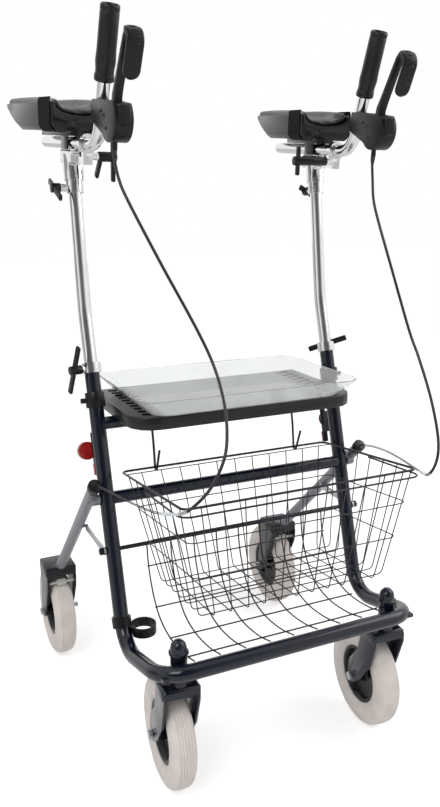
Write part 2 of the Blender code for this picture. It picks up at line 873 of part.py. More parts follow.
def reflector(name, side):
    """A bracket behind a main tube, with a bar reflector and a disc reflector beside its upper half."""
    near = FRAME_TUBE_RADIUS + GAP
    half = 0.0050
    reach = REFLECTOR_REACH
    bar = box(name, (-half, reach - 0.0040, -0.0300), (half, reach + 0.0040, 0.0520), 0.0015, segments=1)
    stem = box("stem", (-half, near, -0.0080), (half, reach, 0.0080))
    x = side * REFLECTOR_OUT
    disc = cylinder("disc", (x, reach + 0.0030, 0.0185), (x, reach + 0.0150, 0.0185), REFLECTOR_RADIUS, 20)
    made = join(bar, stem, disc)
    made.data.transform(turn_about(-math.degrees(math.atan(MAIN_SLOPE)), "X"))
    centre = (side * FRAME_HALF_WIDTH, main_y(REFLECTOR_RISE), REFLECTOR_RISE)
    made.data.transform(Matrix.Translation(centre))
    return made


def seat_clamp(name, side):
    rise = SEAT_CLAMP_RISE
    x = side * FRAME_HALF_WIDTH
    centre = Vector((x, main_y(rise), rise))
    half = MAIN_DIRECTION * 0.0140
    clamp = cylinder(name, centre - half, centre + half, FRAME_TUBE_RADIUS + 0.0040)
    bolt = cylinder("bolt", centre, centre + X_AXIS * side * 0.0270, 0.0050, 8)
    bore = cylinder("bore", centre - half * 2, centre + half * 2, round_hole(FRAME_TUBE_RADIUS))
    return cut(join(clamp, bolt), bore)


def knob_axis(side):
    """The right head knob points outwards, the left one to the rear."""
    return -X_AXIS if side < 0 else Y_AXIS


def collar_centre(side):
    top = Vector((side * FRAME_HALF_WIDTH, main_y(MAIN_TOP_RISE), MAIN_TOP_RISE))
    return top + MAIN_DIRECTION * (GAP + COLLAR_LENGTH / 2)


def post_collar(name, side):
    centre = collar_centre(side)
    half = MAIN_DIRECTION * COLLAR_LENGTH / 2
    ring = cylinder(name, centre - half, centre + half, COLLAR_RADIUS)
    boss = cylinder("boss", centre, centre + Vector(COLLAR_AXES[side]) * COLLAR_BOSS_ENDS[side], 0.0070, 12)
    bore = cylinder("bore", centre - half * 2, centre + half * 2, POST_RADIUS + RUNNING_GAP)
    return cut(join(ring, boss), bore)


def knob(name, base, direction, pattern):
    """A knob from its base along direction: a hub with flat blades that stand out round it."""
    length, blades = pattern
    wings = []
    for offset, bearing, reach in blades:
        low = (offset - BLADE_THICKNESS / 2, -BLADE_WIDTH / 2, 0)
        high = (offset + BLADE_THICKNESS / 2, BLADE_WIDTH / 2, reach)
        blade = box("blade", low, high, 0.0020, segments=1)
        blade.data.transform(turn_about(bearing, "X"))
        wings.append(blade)
    hub = cylinder(name, (0, 0, 0), (length, 0, 0), KNOB_HUB, 12)
    turn = Vector(direction).to_track_quat("X", "Z").to_matrix().to_4x4()
    return join(hub, *wings), Matrix.Translation(base) @ turn


# Posts and forearm units
def post(name, side):
    x = side * FRAME_HALF_WIDTH
    drop = POST_DIRECTION * POST_TOP_DROP
    top = Vector((x, post_y(ARM_RISE), ARM_RISE)) - drop
    corners = [
        (x, main_y(POST_BOTTOM_RISE), POST_BOTTOM_RISE),
        (x, main_y(POST_BEND_RISE), POST_BEND_RISE),
        top,
    ]
    return tube(name, fillet(corners, (POST_BEND,), 6), POST_RADIUS, 6)


def head_frame(side):
    """Origin on the arm tube, Z up along the upper post."""
    origin = Vector((side * FRAME_HALF_WIDTH, post_y(ARM_RISE), ARM_RISE))
    lean = turn_about(-math.degrees(math.atan(POST_TOP_SLOPE)), "X")
    return CHASSIS @ Matrix.Translation(origin) @ lean


def arm_frame(side):
    """Origin on the arm tube above the post, -Y forward along the tube."""
    origin = Vector((side * FRAME_HALF_WIDTH, post_y(ARM_RISE), ARM_RISE))
    turn = turn_about(-side * ARM_TOE_IN, "Z") @ turn_about(ARM_TILT, "X")
    return CHASSIS @ Matrix.Translation(origin) @ turn


def arm_head(name, side):
    """The casting that clamps the post, carries the arm tube and grips it in a ring."""
    to_post = arm_frame(side).inverted() @ head_frame(side)
    barrel = cylinder("barrel", (0, 0, -0.0660), (0, 0, -0.0205), 0.0185)
    lower = cylinder("lower_ring", (0, 0, -0.0880), (0, 0, -0.0640), 0.0160)
    boss_end = knob_axis(side) * HEAD_BOSS_END + Vector((0, 0, -HEAD_KNOB_DROP))
    boss = cylinder("boss", (0, 0, -HEAD_KNOB_DROP), boss_end, 0.0068, 12)
    bore = cylinder("post_bore", (0, 0, -0.1000), (0, 0, -POST_TOP_DROP + 0.0010), POST_RADIUS + RUNNING_GAP)
    for item in (barrel, lower, boss, bore):
        item.data.transform(to_post)
    block_top = -ARM_TUBE_RADIUS - RUNNING_GAP
    saddle = box(name, (-0.0150, -0.0330, -0.0360), (0.0150, 0.0240, block_top), 0.0030, segments=1)
    bar = box("bar", (-0.0060, CLAMP_Y, -0.0330), (0.0060, -0.0200, -0.0220))
    ring_half = 0.0065
    ring_radius = ARM_TUBE_RADIUS + 0.0055
    ring = cylinder("ring", (0, CLAMP_Y - ring_half, 0), (0, CLAMP_Y + ring_half, 0), ring_radius)
    foot_half = ring_half - 0.0010
    foot = box("foot", (-0.0080, CLAMP_Y - foot_half, -0.0345), (0.0080, CLAMP_Y + foot_half, -0.0050))
    knob_end = -side * CLAMP_SHAFT_END
    shaft = cylinder("shaft", (0, CLAMP_Y, -CLAMP_DROP), (knob_end, CLAMP_Y, -CLAMP_DROP), 0.0062, 12)
    hole = cylinder(
        "tube_bore", (0, CLAMP_Y - 0.02, 0), (0, CLAMP_Y + 0.02, 0), ARM_TUBE_RADIUS + RUNNING_GAP
    )
    return cut(join(saddle, barrel, lower, boss, bar, foot, ring, shaft), bore, hole)


def grip_point(height):
    """Centre of the grip line at a height above the arm tube."""
    return Vector((0, ARM_FRONT - GRIP_LEAN * height, height))


def grip_tube(name):
    corners = [(0, ARM_REAR, 0), (0, ARM_FRONT, 0), grip_point(GRIP_BOTTOM + GRIP_LENGTH - 0.012)]
    return tube(name, fillet(corners, (ARM_BEND,), 6), ARM_TUBE_RADIUS, 4)


def grip(name):
    low = grip_point(GRIP_BOTTOM)
    high = grip_point(GRIP_BOTTOM + GRIP_LENGTH)
    along = (high - low).normalized()
    length = (high - low).length
    bore = ARM_TUBE_RADIUS + GAP * 2
    profile = [
        (bore, length),
        (GRIP_RADIUS - 0.0015, length),
        (GRIP_RADIUS, length - 0.0025),
        (GRIP_RADIUS, 0.0240),
        (GRIP_RADIUS - 0.0012, 0.0220),
        (GRIP_RADIUS - 0.0012, 0.0170),
        (GRIP_RADIUS + 0.0004, 0.0150),
        (GRIP_RADIUS + 0.0004, 0.0015),
        (GRIP_RADIUS, 0),
        (bore, 0),
    ]
    turn = along.to_track_quat("Z", "X").to_matrix().to_4x4()
    return turned(name, profile, 16, Matrix.Translation(low) @ turn, ring=True)


def brake_housing(name):
    """The rounded body under the grip, with the lever's slot, its front latch and the cable gland."""
    centre = (HOUSING_Y, HOUSING_Z)
    outline = [(-0.1540, 0.0375), (-0.1610, 0.0690), (-0.2150, 0.0665)]
    outline += arc(centre, HOUSING_RADIUS, 132, 320, 14)
    body = plate(name, outline, HOUSING_HALF_WIDTH * 2)
    latch = box("latch", (-0.0100, -0.2700, 0.0290), (0.0100, -0.2515, 0.0600), 0.0030, segments=1)
    gland = cylinder("gland", (0, GLAND_Y, GLAND_Z), (0, GLAND_Y, 0.0200), 0.0045, 10)
    slot_half = LEVER_THICKNESS / 2 + GAP
    slot_floor = LEVER_PIVOT[1] - LEVER_EYE - RUNNING_GAP
    slot = box("lever_slot", (-slot_half, LEVER_SLOT[0], slot_floor), (slot_half, LEVER_SLOT[1], 0.0900))
    bore = cylinder("tube_bore", grip_point(0.0100), grip_point(0.0900), ARM_TUBE_RADIUS + RUNNING_GAP)
    return cut(join(body, latch, gland), slot, bore)


def brake_lever(name):
    """An arm that rises from its pivot, folds over and hangs down in front as a broad paddle."""
    rise = [LEVER_PIVOT, (-0.2350, 0.0727), (-0.2755, 0.1460), *arc(LEVER_FOLD, FOLD_RADIUS, 30, 95, 2)]
    widths = (LEVER_EYE, LEVER_EYE, 0.0062, 0.0055, 0.0045, 0.0038)
    arm = plate(name, ribbon(rise, widths), LEVER_THICKNESS)
    eye = cylinder(
        "eye",
        (-LEVER_THICKNESS / 2, *LEVER_PIVOT),
        (LEVER_THICKNESS / 2, *LEVER_PIVOT),
        LEVER_EYE,
    )
    fall = [*arc(LEVER_FOLD, FOLD_RADIUS, 80, 202, 6), (-0.2893, 0.0919)]
    paddle = plate("paddle", ribbon(fall, (PADDLE_THICKNESS / 2,) * len(fall)), PADDLE_WIDTH)
    return join(arm, eye, paddle)


def loft(name, sections):
    """A closed skin through rings of points, with flat ends."""
    work = bmesh.new()
    rings = [[work.verts.new(point) for point in section] for section in sections]
    for first, second in zip(rings, rings[1:]):
        for index in range(len(first)):
            following = (index + 1) % len(first)
            work.faces.new((first[index], first[following], second[following], second[index]))
    work.faces.new(rings[0])
    work.faces.new(rings[-1])
    bmesh.ops.recalc_face_normals(work, faces=work.faces)
    mesh = bpy.data.meshes.new(name)
    work.to_mesh(mesh)
    work.free()
    shade(mesh)
    return mesh_object(name, mesh)


def along_pad(y, values):
    """A smooth value between three (y, value) points."""
    (y0, v0), (y1, v1), (y2, v2) = values
    first, last = ((y0, v0), (y1, v1)) if y < y1 else ((y2, v2), (y1, v1))
    share = (y - first[0]) / (last[0] - first[0])
    return last[1] + (first[1] - last[1]) * (1 - share) ** 2


def hollow(y, half_width, rim, floor, steps):
    """A U across the pad, from its right rim to its left rim."""
    found = []
    for step in range(steps + 1):
        angle = math.pi * (1 - step / steps)
        depth = max(math.sin(angle), 0) ** 0.8
        found.append(Vector((half_width * math.cos(angle), y, rim - (rim - floor) * depth)))
    return found


def pad_shell(name, side):
    """The rigid gutter, with a mounting plate on the arm tube and a strap down each side of the tube."""
    rear = PAD_REAR - 0.0100
    sections = []
    for y in (PAD_FRONT, -0.0200, 0.0200, 0.0600, 0.1000, SHELL_LIFT_Y, 0.1500, 0.1750, rear):
        lift = max(0, (y - SHELL_LIFT_Y) / (rear - SHELL_LIFT_Y)) ** 1.5
        low = SHELL_BOTTOM + SHELL_LIFT[0] * lift
        edge = SHELL_BOTTOM + SHELL_LIFT[1] * lift
        half = PAD_HALF_WIDTH
        right = [(half, SHELL_RIM), (half, edge + 0.0090)]
        right += [(half - 0.0080, edge), (half * 0.5, (low + edge) / 2)]
        outside = [Vector((x, y, z)) for x, z in right] + [Vector((0, y, low))]
        outside += [Vector((-x, y, z)) for x, z in right[::-1]]
        inside = hollow(y, half - SHELL_WALL, SHELL_RIM, along_pad(y, SHELL_FLOOR), 8)
        sections.append(outside + inside)
    shell = loft(name, sections)
    floor = ARM_TUBE_RADIUS + RUNNING_GAP
    base = box("base", (-0.0190, PAD_FRONT + 0.0020, floor), (0.0190, 0.1000, SHELL_BOTTOM + 0.0015))
    shell = join(shell, base)
    shell.data.transform(turn_about(-side * PAD_YAW, "Z"))
    straps = []
    for edge in (-1, 1):
        inside = ARM_TUBE_RADIUS + RUNNING_GAP
        low = (min(edge * inside, edge * (inside + 0.0030)), -0.0200, -ARM_TUBE_RADIUS)
        high = (max(edge * inside, edge * (inside + 0.0030)), 0.0150, floor + 0.0030)
        straps.append(box("strap", low, high))
    return join(shell, *straps)


def pad(name, side):
    """The foam cushion that lines the gutter, with rounded ends and a soft edge along its rim."""
    length = PAD_REAR - PAD_FRONT - 0.0040
    half = PAD_HALF_WIDTH - SHELL_WALL - PAD_GAP
    sections = []
    for share in (0, 0.02, 0.10, 0.28, 0.45, 0.62, 0.80, 0.92, 0.98, 1):
        y = PAD_FRONT + 0.0040 + length * share
        rim = PAD_RIM[0] + (PAD_RIM[1] - PAD_RIM[0]) * share
        floor = along_pad(y, SHELL_FLOOR) + PAD_GAP
        under = hollow(y, half, SHELL_RIM + PAD_GAP, floor, 8)
        over = hollow(y, half - PAD_THICKNESS, rim - 0.0045, floor + PAD_THICKNESS, 8)
        full = min(1, 0.55 + 30 * min(share, 1 - share))
        ring = []
        for low, high in zip(under, over):
            middle = (low + high) / 2
            ring.append((middle + (low - middle) * full, middle + (high - middle) * full))
        left, right = ring[0], ring[-1]
        lip = rim - 0.0120 * (1 - full)
        edges = []
        for outer, inner in (left, right):
            near = outer.lerp(inner, 0.12)
            far = outer.lerp(inner, 0.65)
            edges.append([Vector((near.x, y, lip - 0.0035)), Vector((far.x, y, lip))])
        section = [low for low, _ in ring] + edges[1] + [high for _, high in ring[::-1]] + edges[0][::-1]
        sections.append(section)
    cushion = loft(name, sections)
    cushion.data.transform(turn_about(-side * PAD_YAW, "Z"))
    return cushion


# Rear legs
def rear_leg(name, side):
    """Enamelled tube with its top plug, the pivot boss, the catch pin and the wheel fork."""
    top = Vector((0, LEG_TOP_Y, leg_rise(LEG_TOP_Y)))
    bottom = Vector((0, LEG_BOTTOM_Y, leg_rise(LEG_BOTTOM_Y)))
    leg = cylinder("leg", bottom, top, LEG_RADIUS)
    plug_end = top - LEG_DIRECTION * PLUG_LENGTH
    plug = cylinder("plug", top + LEG_DIRECTION * 0.0060, plug_end, LEG_RADIUS + 0.0015)
    inner = -side * (LEG_OFFSET - FRAME_TUBE_RADIUS - RUNNING_GAP)
    pivot_y = main_y(MIDDLE_BAR_RISE)
    boss = cylinder("boss", (0, pivot_y, MIDDLE_BAR_RISE), (inner, pivot_y, MIDDLE_BAR_RISE), 0.0100)
    catch_x = -side * (LEG_OFFSET - FRAME_TUBE_RADIUS - RUNNING_GAP * 2)
    catch = cylinder("catch", (0, *CATCH_POINT), (catch_x, *CATCH_POINT), CATCH_RADIUS, 10)
    axle_point = (REAR_AXLE_Y, -WHEEL_RADIUS)
    arms, bore = fork_arms(name, rear_fork_outline(REAR_AXLE_Y), axle_point)
    crown = box(
        name,
        (-CROWN_HALF_WIDTH, REAR_AXLE_Y - 0.0640, CROWN_RISE),
        (CROWN_HALF_WIDTH, REAR_AXLE_Y + 0.0040, CROWN_RISE + 0.0240),
        0.0050,
    )
    return cut(join(crown, leg, plug, boss, catch, *arms), bore)


def strut(name, side):
    """A flat bar from the cross rod to the leg's catch, open upwards round the catch pin."""
    start = Vector((0, main_y(ROD_RISE), ROD_RISE))
    reach = CATCH_POINT[0] - start.y
    half = STRUT_WIDTH / 2
    x = side * (FRAME_HALF_WIDTH + FRAME_TUBE_RADIUS + RUNNING_GAP * 2 + STRUT_THICKNESS / 2)
    line = [(start.y, start.z), (start.y + reach * 0.5, start.z), (start.y + reach, CATCH_POINT[1] - 0.0045)]
    outline = ribbon(line, (half, half * 0.85, half))
    bar = plate(name, outline, STRUT_THICKNESS, x)
    ends = []
    for point, radius in ((line[0], half + 0.0010), (line[2], half + 0.0010)):
        ends.append(
            cylinder("end", (x - STRUT_THICKNESS / 2, *point), (x + STRUT_THICKNESS / 2, *point), radius)
        )
    hole = cylinder("hole", (x - 0.01, *line[0]), (x + 0.01, *line[0]), ROD_RADIUS + RUNNING_GAP, 12)
    notch_low = CATCH_POINT[1] - CATCH_RADIUS - RUNNING_GAP
    notch = box(
        "notch",
        (x - 0.01, CATCH_POINT[0] - CATCH_RADIUS - 0.0035, notch_low),
        (x + 0.01, CATCH_POINT[0] + CATCH_RADIUS + 0.0005, notch_low + 0.03),
    )
    return cut(join(bar, *ends), hole, notch)


def shoe_centre():
    """Centre of the brake shoe, above and in front of the rear axle."""
    reach = WHEEL_RADIUS + SHOE_GAP + SHOE_SIZE / 2
    angle = math.radians(SHOE_ANGLE)
    return Vector((0, REAR_AXLE_Y - reach * math.sin(angle), -WHEEL_RADIUS + reach * math.cos(angle)))


def brake_shoe(name):
    """The block that presses on the tyre, on a pin between the fork arms."""
    half = SHOE_SIZE / 2
    block = box(name, (-SHOE_WIDTH / 2, -half, -half), (SHOE_WIDTH / 2, half, half), 0.0010, segments=1)
    pin_half = FORK_INNER - GAP
    pin = cylinder("pin", (-pin_half, 0, 0.0010), (pin_half, 0, 0.0010), 0.0030, 8)
    return join(block, pin)


# Seat, tray and basket
def seat():
    """A moulded panel with round front corners, a roll along its front edge and two clips on the crossbar."""
    half = FRAME_HALF_WIDTH - SEAT_INSET
    top = SEAT_TOP_RISE
    bottom = top - SEAT_THICKNESS
    corners = [(-half, SEAT_REAR, 0), (-half, SEAT_FRONT, 0), (half, SEAT_FRONT, 0), (half, SEAT_REAR, 0)]
    outline = [(point.x, point.y) for point in fillet(corners, (SEAT_CORNER, SEAT_CORNER), 4)]
    slab = plate("seat_slab", outline, SEAT_THICKNESS, (top + bottom) / 2)
    slab.data.transform(Matrix(((0, 1, 0, 0), (0, 0, 1, 0), (1, 0, 0, 0), (0, 0, 0, 1))))
    bevel = slab.modifiers.new("round", "BEVEL")
    bevel.width = 0.0080
    bevel.segments = 2
    bevel.limit_method = "ANGLE"
    panel = solid_from(slab)
    panel.name = "seat"
    inset = half - SEAT_ROLL - GAP
    front = SEAT_FRONT + SEAT_ROLL - GAP
    side_end = front + SEAT_CORNER
    height = top - SEAT_ROLL - GAP
    bend = [(-inset, side_end, height), (-inset, front, height)]
    bend += [(inset, front, height), (inset, side_end, height)]
    roll = tube("front_roll", fillet(bend, (SEAT_CORNER - SEAT_ROLL,) * 2, 4), SEAT_ROLL, 4)
    bar_y = main_y(UPPER_BAR_RISE)
    clip_x = 0.1150
    clips = []
    for _, side in SIDES:
        low = (side * clip_x - 0.0110, bar_y - 0.0160, UPPER_BAR_RISE - 0.0060)
        high = (side * clip_x + 0.0110, bar_y + 0.0160, bottom + 0.0060)
        clips.append(box("clip", low, high))
    bore_half = clip_x + 0.03
    bore = cylinder(
        "bar_bore",
        (-bore_half, bar_y, UPPER_BAR_RISE),
        (bore_half, bar_y, UPPER_BAR_RISE),
        CROSSBAR_RADIUS + GAP,
        24,
    )
    return cut(join(panel, roll, *clips), bore)


def open_box(name, lower, upper, wall, corner, segments):
    """A thin-walled box open at the top. Each outline is its front and rear corner as (half width, y, z)."""
    work = bmesh.new()
    bmesh.ops.create_cube(work, size=2)
    lid = [face for face in work.faces if face.calc_center_median().z > 0.9]
    upright = [edge for edge in work.edges if edge.verts[0].co.z * edge.verts[1].co.z < 0]
    for vertex in work.verts:
        outline = upper if vertex.co.z > 0 else lower
        x, y, z = outline[0] if vertex.co.y < 0 else outline[1]
        vertex.co = (math.copysign(x, vertex.co.x), y, z)
    bmesh.ops.delete(work, geom=lid, context="FACES_ONLY")
    bmesh.ops.bevel(work, geom=upright, offset=corner, segments=segments, affect="EDGES", profile=0.5)
    mesh = bpy.data.meshes.new(name)
    work.to_mesh(mesh)
    work.free()
    obj = mesh_object(name, mesh)
    shell = obj.modifiers.new("wall", "SOLIDIFY")
    shell.thickness = wall
    shell.offset = -1
    shell.use_even_offset = True
    return solid_from(obj)


def tray():
    floor = SEAT_TOP_RISE + GAP
    top = floor + TRAY_HEIGHT
    low_x = TRAY_HALF_WIDTH - TRAY_FLARE
    lower = [(low_x, TRAY_FRONT + TRAY_FLARE * 0.8, floor), (low_x, TRAY_REAR - TRAY_FLARE * 0.8, floor)]
    upper = [(TRAY_HALF_WIDTH, TRAY_FRONT, top), (TRAY_HALF_WIDTH, TRAY_REAR, top)]
    return open_box("tray", lower, upper, TRAY_WALL, 0.0250, 4)


def rim_rise(y):
    """Height of the basket's sloping rim."""
    front_y, front_rise = BASKET_FRONT_RIM
    rear_y, rear_rise = BASKET_REAR_RIM
    return front_rise + (rear_rise - front_rise) * (y - front_y) / (rear_y - front_y)


def basket():
    """A tub inside a rim wire, whose rear stretch hangs in the hooks of the upper crossbar."""
    rim_x = FRAME_HALF_WIDTH - BASKET_RIM_INSET
    low_x = FRAME_HALF_WIDTH - BASKET_BOTTOM_INSET
    wall_y = BASKET_REAR_WALL_Y
    lower = [(low_x, *BASKET_FRONT_BOTTOM), (low_x, *BASKET_REAR_BOTTOM)]
    upper = [(rim_x, *BASKET_FRONT_RIM), (rim_x, wall_y, rim_rise(wall_y))]
    tub = open_box("basket", lower, upper, BASKET_WALL, 0.0120, 2)
    corners = []
    for x, point in ((-rim_x, BASKET_REAR_RIM), (-rim_x, BASKET_FRONT_RIM)):
        corners.append(Vector((x, *point)))
    corners += [Vector((-corner.x, corner.y, corner.z)) for corner in corners[::-1]]
    middle = (corners[0] + corners[3]) / 2
    route = fillet([middle, *corners, middle], (0.0140,) * 4, 3)[:-1]
    rim = tube("rim", route, BASKET_WIRE, 1, closed=True)
    return join(tub, rim)


def basket_handle():
    """The carrying bail, folded down along the rim."""
    eye_y = BASKET_EYE_Y
    eye_rise = rim_rise(eye_y) - 0.0060
    front_y = BASKET_FRONT_RIM[0] - BASKET_WIRE - HANDLE_WIRE - 0.0015
    front_rise = BASKET_FRONT_RIM[1] - 0.0110
    x = FRAME_HALF_WIDTH - BASKET_RIM_INSET + BASKET_WIRE + HANDLE_WIRE + 2 * GAP
    corners = [(-x, eye_y, eye_rise), (-x, front_y, front_rise)]
    corners += [(x, front_y, front_rise), (x, eye_y, eye_rise)]
    return tube("basket_handle", fillet(corners, (0.02, 0.02), 4), HANDLE_WIRE, 1)


# Cables
def cable(name, side):
    """From the gland of the brake housing, down in front of the basket and back to the rear leg's plug."""
    gland = CHASSIS.inverted() @ arm_frame(side) @ Vector((0, GLAND_Y, GLAND_Z))
    down = CHASSIS.inverted() @ arm_frame(side) @ Vector((0, GLAND_Y + 0.0010, GLAND_Z - 0.0150))
    start = gland + (down - gland).normalized() * GAP
    plug = Vector((side * LEG_X, LEG_TOP_Y, leg_rise(LEG_TOP_Y))) - LEG_DIRECTION * (PLUG_LENGTH + GAP)
    before = plug - LEG_DIRECTION * 0.0040
    widen = FRAME_HALF_WIDTH / CABLE_HALF_WIDTH
    middle = [(x * widen, y, rise) for x, y, rise in CABLE_ROUTES[side]]
    route = [start, down, *middle, before, plug]
    return tube(name, smooth_route(route, CABLE_STEP), CABLE_RADIUS, 2)


# Assembly
def build_frame(chassis):
    place(frame_tube(), CHASSIS, chassis, painted_steel())
    place(upper_crossbar(), CHASSIS, chassis, painted_steel())
    place(middle_crossbar(), CHASSIS, chassis, painted_steel())
    place(cross_rod(), CHASSIS, chassis, zinc_steel())
    place(front_grille(), CHASSIS, chassis, black_wire())
    place(cane_holder(), CHASSIS, chassis, black_plastic())
    for label, side in SIDES:
        place(reflector(f"{label}_reflector", side), CHASSIS, chassis, red_reflector())
        place(seat_clamp(f"{label}_seat_clamp", side), CHASSIS, chassis, black_plastic())
        place(post_collar(f"{label}_post_collar", side), CHASSIS, chassis, chrome())
        place(cable(f"{label}_brake_cable", side), CHASSIS, chassis, black_plastic())
        axis = Vector(COLLAR_AXES[side])
        base = collar_centre(side) + axis * (COLLAR_BOSS_ENDS[side] + GAP)
        name = f"{label}_collar_knob"
        wings, turn = knob(name, base, axis, COLLAR_KNOBS[side])
        joint = pivot(f"{name}_turn", CHASSIS @ turn, chassis)
        place(wings, CHASSIS @ turn, joint, black_plastic())


def build_arm(label, side, chassis):
    """Post, head, arm tube with grip and brake lever, and the pad."""
    x = side * FRAME_HALF_WIDTH
    mouth = Matrix.Translation((x, main_y(MAIN_TOP_RISE), MAIN_TOP_RISE))
    slide = pivot(f"{label}_post_slide", CHASSIS @ mouth, chassis)
    place(post(f"{label}_post", side), CHASSIS, slide, chrome())
    swivel = pivot(f"{label}_arm_swivel", head_frame(side), slide)
    arm = arm_frame(side)
    place(arm_head(f"{label}_arm_head", side), arm, swivel, chrome())
    axis = knob_axis(side)
    base = axis * (HEAD_BOSS_END + GAP) + Vector((0, 0, -HEAD_KNOB_DROP))
    wings, turn = knob(f"{label}_head_knob", base, axis, HEAD_KNOBS[side])
    joint = pivot(f"{label}_head_knob_turn", head_frame(side) @ turn, swivel)
    place(wings, head_frame(side) @ turn, joint, black_plastic())
    base = Vector((-side * (CLAMP_SHAFT_END + GAP), CLAMP_Y, -CLAMP_DROP))
    wings, turn = knob(f"{label}_clamp_knob", base, -side * X_AXIS, CLAMP_KNOBS[side])
    joint = pivot(f"{label}_clamp_knob_turn", arm @ turn, swivel)
    place(wings, arm @ turn, joint, black_plastic())
    place(pad_shell(f"{label}_pad_shell", side), arm, swivel, shell_plastic())
    place(pad(f"{label}_pad", side), arm, swivel, black_foam())
    reach = pivot(f"{label}_reach_slide", arm, swivel)
    place(grip_tube(f"{label}_grip_tube"), arm, reach, chrome())
    place(grip(f"{label}_grip"), arm, reach, black_plastic())
    place(brake_housing(f"{label}_brake_housing"), arm, reach, black_plastic())
    joint = pivot(f"{label}_lever_pivot", arm @ Matrix.Translation((0, *LEVER_PIVOT)), reach)
    place(brake_lever(f"{label}_brake_lever"), arm, joint, black_plastic())


def build_wheel(label, side, frame, parent, extra=0.0):
    """Tyre and rim on their spin axis, and the axle that stays in the fork."""
    place(axle(f"{label}_axle", side, extra), frame, parent, zinc_steel())
    spin = pivot(f"{label}_wheel_spin", frame, parent)
    place(tyre(f"{label}_tyre"), frame, spin, grey_rubber())
    place(rim(f"{label}_rim"), frame, spin, black_plastic())


def build_caster(label, side, chassis):
    frame = CHASSIS @ Matrix.Translation((side * CASTER_X, CASTER_Y, 0)) @ turn_about(-CASTER_HEADING, "Z")
    swivel = pivot(f"{label}_caster_swivel", frame, chassis)
    place(caster_fork(f"{label}_caster_fork"), frame, swivel, painted_steel())
    build_wheel(f"{label}_front", side, frame @ Matrix.Translation((0, CASTER_TRAIL, -WHEEL_RADIUS)), swivel)


def build_rear(label, side, chassis):
    frame = CHASSIS @ Matrix.Translation((side * LEG_X, 0, 0))
    hinge = Matrix.Translation((0, main_y(MIDDLE_BAR_RISE), MIDDLE_BAR_RISE))
    fold = pivot(f"{label}_leg_fold", frame @ hinge, chassis)
    place(rear_leg(f"{label}_rear_leg", side), frame, fold, leg_enamel())
    rod_end = Matrix.Translation((side * FRAME_HALF_WIDTH, main_y(ROD_RISE), ROD_RISE))
    drop = pivot(f"{label}_strut_pivot", CHASSIS @ rod_end, chassis)
    place(strut(f"{label}_strut", side), CHASSIS, drop, zinc_steel())
    at_shoe = frame @ Matrix.Translation(shoe_centre()) @ turn_about(SHOE_ANGLE, "X")
    press = pivot(f"{label}_shoe_slide", at_shoe, fold)
    place(brake_shoe(f"{label}_brake_shoe"), at_shoe, press, zinc_steel())
    at_axle = frame @ Matrix.Translation((0, REAR_AXLE_Y, -WHEEL_RADIUS))
    build_wheel(f"{label}_rear", side, at_axle, fold, REAR_AXLE_EXTRA)


def build_seat_and_basket(chassis):
    bar = Matrix.Translation((0, main_y(UPPER_BAR_RISE), UPPER_BAR_RISE))
    flip = pivot("seat_flip", CHASSIS @ bar, chassis)
    place(seat(), CHASSIS, flip, black_plastic())
    lift = pivot("tray_lift", CHASSIS @ Matrix.Translation((0, 0, SEAT_TOP_RISE)), flip)
    place(tray(), CHASSIS, lift, clear_plastic())
    hang = pivot("basket_lift", CHASSIS @ Matrix.Translation((0, *BASKET_REAR_RIM)), chassis)
    place(basket(), CHASSIS, hang, black_wire())
    eye = Matrix.Translation((0, BASKET_EYE_Y, rim_rise(BASKET_EYE_Y) - 0.0060))
    swing = pivot("basket_handle_swing", CHASSIS @ eye, hang)
    place(basket_handle(), CHASSIS, swing, black_wire())


def build():
    chassis = pivot("chassis", CHASSIS)
    build_frame(chassis)
    for label, side in SIDES:
        build_arm(label, side, chassis)
        build_caster(label, side, chassis)
        build_rear(label, side, chassis)
    build_seat_and_basket(chassis)


build()
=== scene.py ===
import math

import bmesh
import bpy
import numpy as np
from mathutils import Matrix, Vector


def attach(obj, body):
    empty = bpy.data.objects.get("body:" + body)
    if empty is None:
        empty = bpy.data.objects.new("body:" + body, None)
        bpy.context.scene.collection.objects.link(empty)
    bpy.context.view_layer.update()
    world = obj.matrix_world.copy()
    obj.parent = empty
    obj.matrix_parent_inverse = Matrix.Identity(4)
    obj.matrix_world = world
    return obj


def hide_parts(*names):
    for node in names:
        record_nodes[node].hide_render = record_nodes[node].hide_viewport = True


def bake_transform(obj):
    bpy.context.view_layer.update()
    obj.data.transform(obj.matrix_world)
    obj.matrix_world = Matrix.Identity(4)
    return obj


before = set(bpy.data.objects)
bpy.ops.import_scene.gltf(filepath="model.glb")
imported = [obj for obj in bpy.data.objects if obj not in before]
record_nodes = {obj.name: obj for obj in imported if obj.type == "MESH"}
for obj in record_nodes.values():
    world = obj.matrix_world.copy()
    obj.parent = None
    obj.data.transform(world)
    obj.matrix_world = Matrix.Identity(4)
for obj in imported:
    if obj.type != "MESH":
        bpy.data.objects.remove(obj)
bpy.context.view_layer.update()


# Camera: in front of the walker's right side, a metre above the floor and looking slightly down, at
# the photograph's viewing angle.
CAMERA_PLACE = Vector((-0.6389, -1.3852, 1.0153))
CAMERA_AZIMUTH = math.radians(-24.8765)
CAMERA_PITCH = math.radians(14.3094)
CAMERA_ROLL = math.radians(-0.2086)
FOCAL_PIXELS = 789.5
IMAGE_HEIGHT = 807
SENSOR_HEIGHT = 36


def placed(name, data):
    """A new object in the scene."""
    made = bpy.data.objects.new(name, data)
    bpy.context.scene.collection.objects.link(made)
    return made


